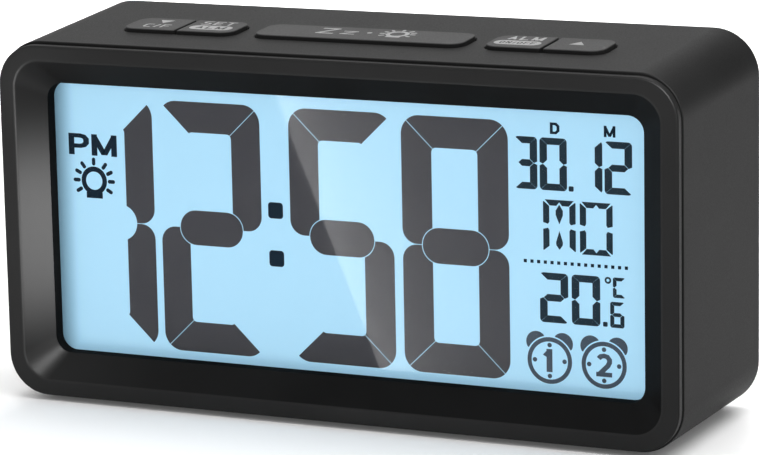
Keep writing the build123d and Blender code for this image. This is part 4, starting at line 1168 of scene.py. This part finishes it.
# place, target, power, cone in degrees and radius of each small lamp that only shows as a gloss
glossSpots = {
    "slopeSpot": ((0.42, -0.27, 0.045), (-0.061, -0.018, 0.0312), 65.0, 4.6, 0.007),
    "edgeSpot1": ((0.067, -0.35, 0.02), (-0.0625, -0.0195, 0.034), 12.0, 11, 0.01),
    "edgeSpot2": ((-0.055, -0.14, 0.012), (-0.0605, -0.0195, 0.0615), 1.2, 10, 0.006),
    "cornerSpot1": ((0.2, -0.37, 0.42), (-0.0595, -0.018, 0.008), 35.0, 2.6, 0.012),
    "cornerSpot2": ((0.1, -0.345, 0.475), (-0.0595, -0.018, 0.008), 35.0, 2.6, 0.012),
    "rimSpot": ((0.33, -0.41, 0.43), (0.064, -0.0193, 0.0645), 80.0, 3.0, 0.012),
}
flag = {"across": (0, 700), "up": (30, 600), "behind": 550}
glare = {"top": (-14.6, 26.8), "low": (6.9, -28.0), "width": 60.0, "fade": 14.0, "strength": 5.67, "lift": 0.4,
         "columns": 24, "rows": 12}
view = {"azimuth": 24.67, "elevation": 11.62, "roll": -1.12, "lens": 173.5, "sensor": 36, "near": 0.01,
        "place": (0.27531, -0.59681, 0.16812)}


def seenRays(tree):
    # 1 where the picture, a gloss or a clear piece shows the background
    rays = addNode(tree, "ShaderNodeLightPath")
    seen = maths(tree, "MAXIMUM", rays["Is Camera Ray"], rays["Is Glossy Ray"])
    return maths(tree, "MAXIMUM", seen, rays["Is Transmission Ray"])


def makeStage():
    half = studio["floor"] / 2 / mm
    corners = [(-half, -half, 0), (half, -half, 0), (half, half, 0), (-half, half, 0)]
    material, tree, shader, place = openMaterial("paleFloor")
    tint = tuple(c * studio["floorTint"] for c in studio["floorColour"])
    mottle = noise(tree, place, studio["floorPatch"])
    # the far floor runs into the white behind it
    away = addNode(tree, "ShaderNodeVectorMath", {0: place}, operation="LENGTH")["Value"]
    lift = remap(tree, away, studio["liftFrom"], studio["floorLift"])
    feed(shader, {"Base Color": blendColours(tree, mottle, tint, studio["floorColour"]),
                  "Roughness": studio["floorRough"], "Specular IOR Level": 0.0, "Emission Color": (1, 1, 1, 1),
                  "Emission Strength": maths(tree, "MULTIPLY", lift, seenRays(tree))})
    makePiece("floor", [(corners, [(0, 1, 2, 3)])], material, solid=False)


def makeWorld():
    world = bpy.data.worlds.new("studioWorld")
    scene.world = world
    world.use_nodes = True
    tree = world.node_tree
    tree.nodes.clear()
    strength = remap(tree, seenRays(tree), (0, 1), studio["worldLight"])
    light = addNode(tree, "ShaderNodeBackground", {"Color": (1, 1, 1, 1), "Strength": strength})
    addNode(tree, "ShaderNodeOutputWorld", {"Surface": light["Background"]})


def hideFrom(holder, *rays):
    for ray in rays:
        setattr(holder, "visible_" + ray, False)


def hideFromAllButGloss(holder):
    # seen in reflections only, as a card held out of the picture
    hideFrom(holder, "camera", "diffuse", "transmission", "volume_scatter", "shadow")


def addLamp(name, kind, place, target, power, **settings):
    lamp = bpy.data.lights.new(name, kind)
    lamp.energy = power
    for key, value in settings.items():
        setattr(lamp, key, value)
    holder = addObject(name, lamp)
    holder.location = place
    holder.rotation_euler = (Vector(target) - Vector(place)).to_track_quat("-Z", "Y").to_euler()
    return holder


def makeLamps():
    addLamp("topBox", "AREA", **topBox)
    for name, (place, target, power, cone, radius) in glossSpots.items():
        hideFromAllButGloss(addLamp(name, "SPOT", place, target, power, spot_size=math.radians(cone), spot_blend=1.0,
                                    shadow_soft_size=radius))
    hideFrom(addLamp("backBox", "AREA", **backBox), "camera", "glossy", "transmission")


def makeFlag():
    # a dark card behind, above the horizon, which keeps the upper right edge dark
    (left, right), (low, high), y = flag["across"], flag["up"], flag["behind"]
    corners = [(left, y, low), (right, y, low), (right, y, high), (left, y, high)]
    card = makePiece("darkFlag", [(corners, [(0, 1, 2, 3)])], finishes["recessBlack"], solid=False)
    hideFromAllButGloss(card)


def glareGlow():
    # light that grows with the card's own fade, on a clear card
    material, tree, shader, place = openMaterial("glareGlow")
    fade = addNode(tree, "ShaderNodeAttribute", attribute_name="fade")["Fac"]
    glow = addNode(tree, "ShaderNodeEmission", {"Strength": remap(tree, fade, (0, 1), (0, glare["strength"]))})
    through = addNode(tree, "ShaderNodeBsdfTransparent")["BSDF"]
    both = addNode(tree, "ShaderNodeAddShader", {0: glow["Emission"], 1: through})
    feed(tree.nodes["Material Output"], {"Surface": both["Shader"]})
    tree.nodes.remove(shader)
    return material


def makeGlare():
    # a bright card on the floor in front, whose edge shows as a slanting line in the display
    lensY = frontY + bezel["windowDepth"]
    eye = Vector(view["place"]) / mm
    eye.y = 2 * lensY - eye.y
    columns, rows = glare["columns"], glare["rows"]
    (topX, topZ), (lowX, lowZ) = glare["top"], glare["low"]
    points, faces, fades = [], [], []
    for i in range(rows + 1):
        share = i / rows
        edgeX, edgeZ = topX + (lowX - topX) * share, topZ + (lowZ - topZ) * share
        for k in range(columns + 1):
            across = glare["width"] * k / columns
            toLens = Vector((edgeX + across, lensY, midZ + edgeZ)) - eye
            points.append(eye + toLens * ((eye.z - glare["lift"]) / -toLens.z))
            fades.append(math.exp(-across / glare["fade"]) - math.exp(-glare["width"] / glare["fade"]))
    for i in range(rows):
        for k in range(columns):
            a = i * (columns + 1) + k
            faces.append((a, a + 1, a + columns + 2, a + columns + 1))
    card = makePiece("glareCard", [(points, faces)], glareGlow(), solid=False)
    values = card.data.attributes.new("fade", "FLOAT", "POINT")
    for entry, value in zip(values.data, fades):
        entry.value = value
    hideFromAllButGloss(card)


def makeCamera():
    a, e, r = (math.radians(view[key]) for key in ("azimuth", "elevation", "roll"))
    back = Vector((math.sin(a) * math.cos(e), -math.cos(a) * math.cos(e), math.sin(e)))
    right = (-back).cross(Vector((0, 0, 1))).normalized()
    up = right.cross(-back)
    right, up = math.cos(r) * right + math.sin(r) * up, math.cos(r) * up - math.sin(r) * right
    lens = bpy.data.cameras.new("camera")
    lens.lens = view["lens"]
    lens.sensor_width = view["sensor"]
    lens.clip_start = view["near"]
    scene.camera = addObject("camera", lens)
    rows = [[right[i], up[i], back[i], view["place"][i]] for i in range(3)]
    scene.camera.matrix_world = Matrix(rows + [[0, 0, 0, 1]])


makeStage()
makeWorld()
makeFlag()
makeGlare()
makeLamps()
makeCamera()
scene.view_settings.view_transform = "Standard"
print("stage, light and camera made")
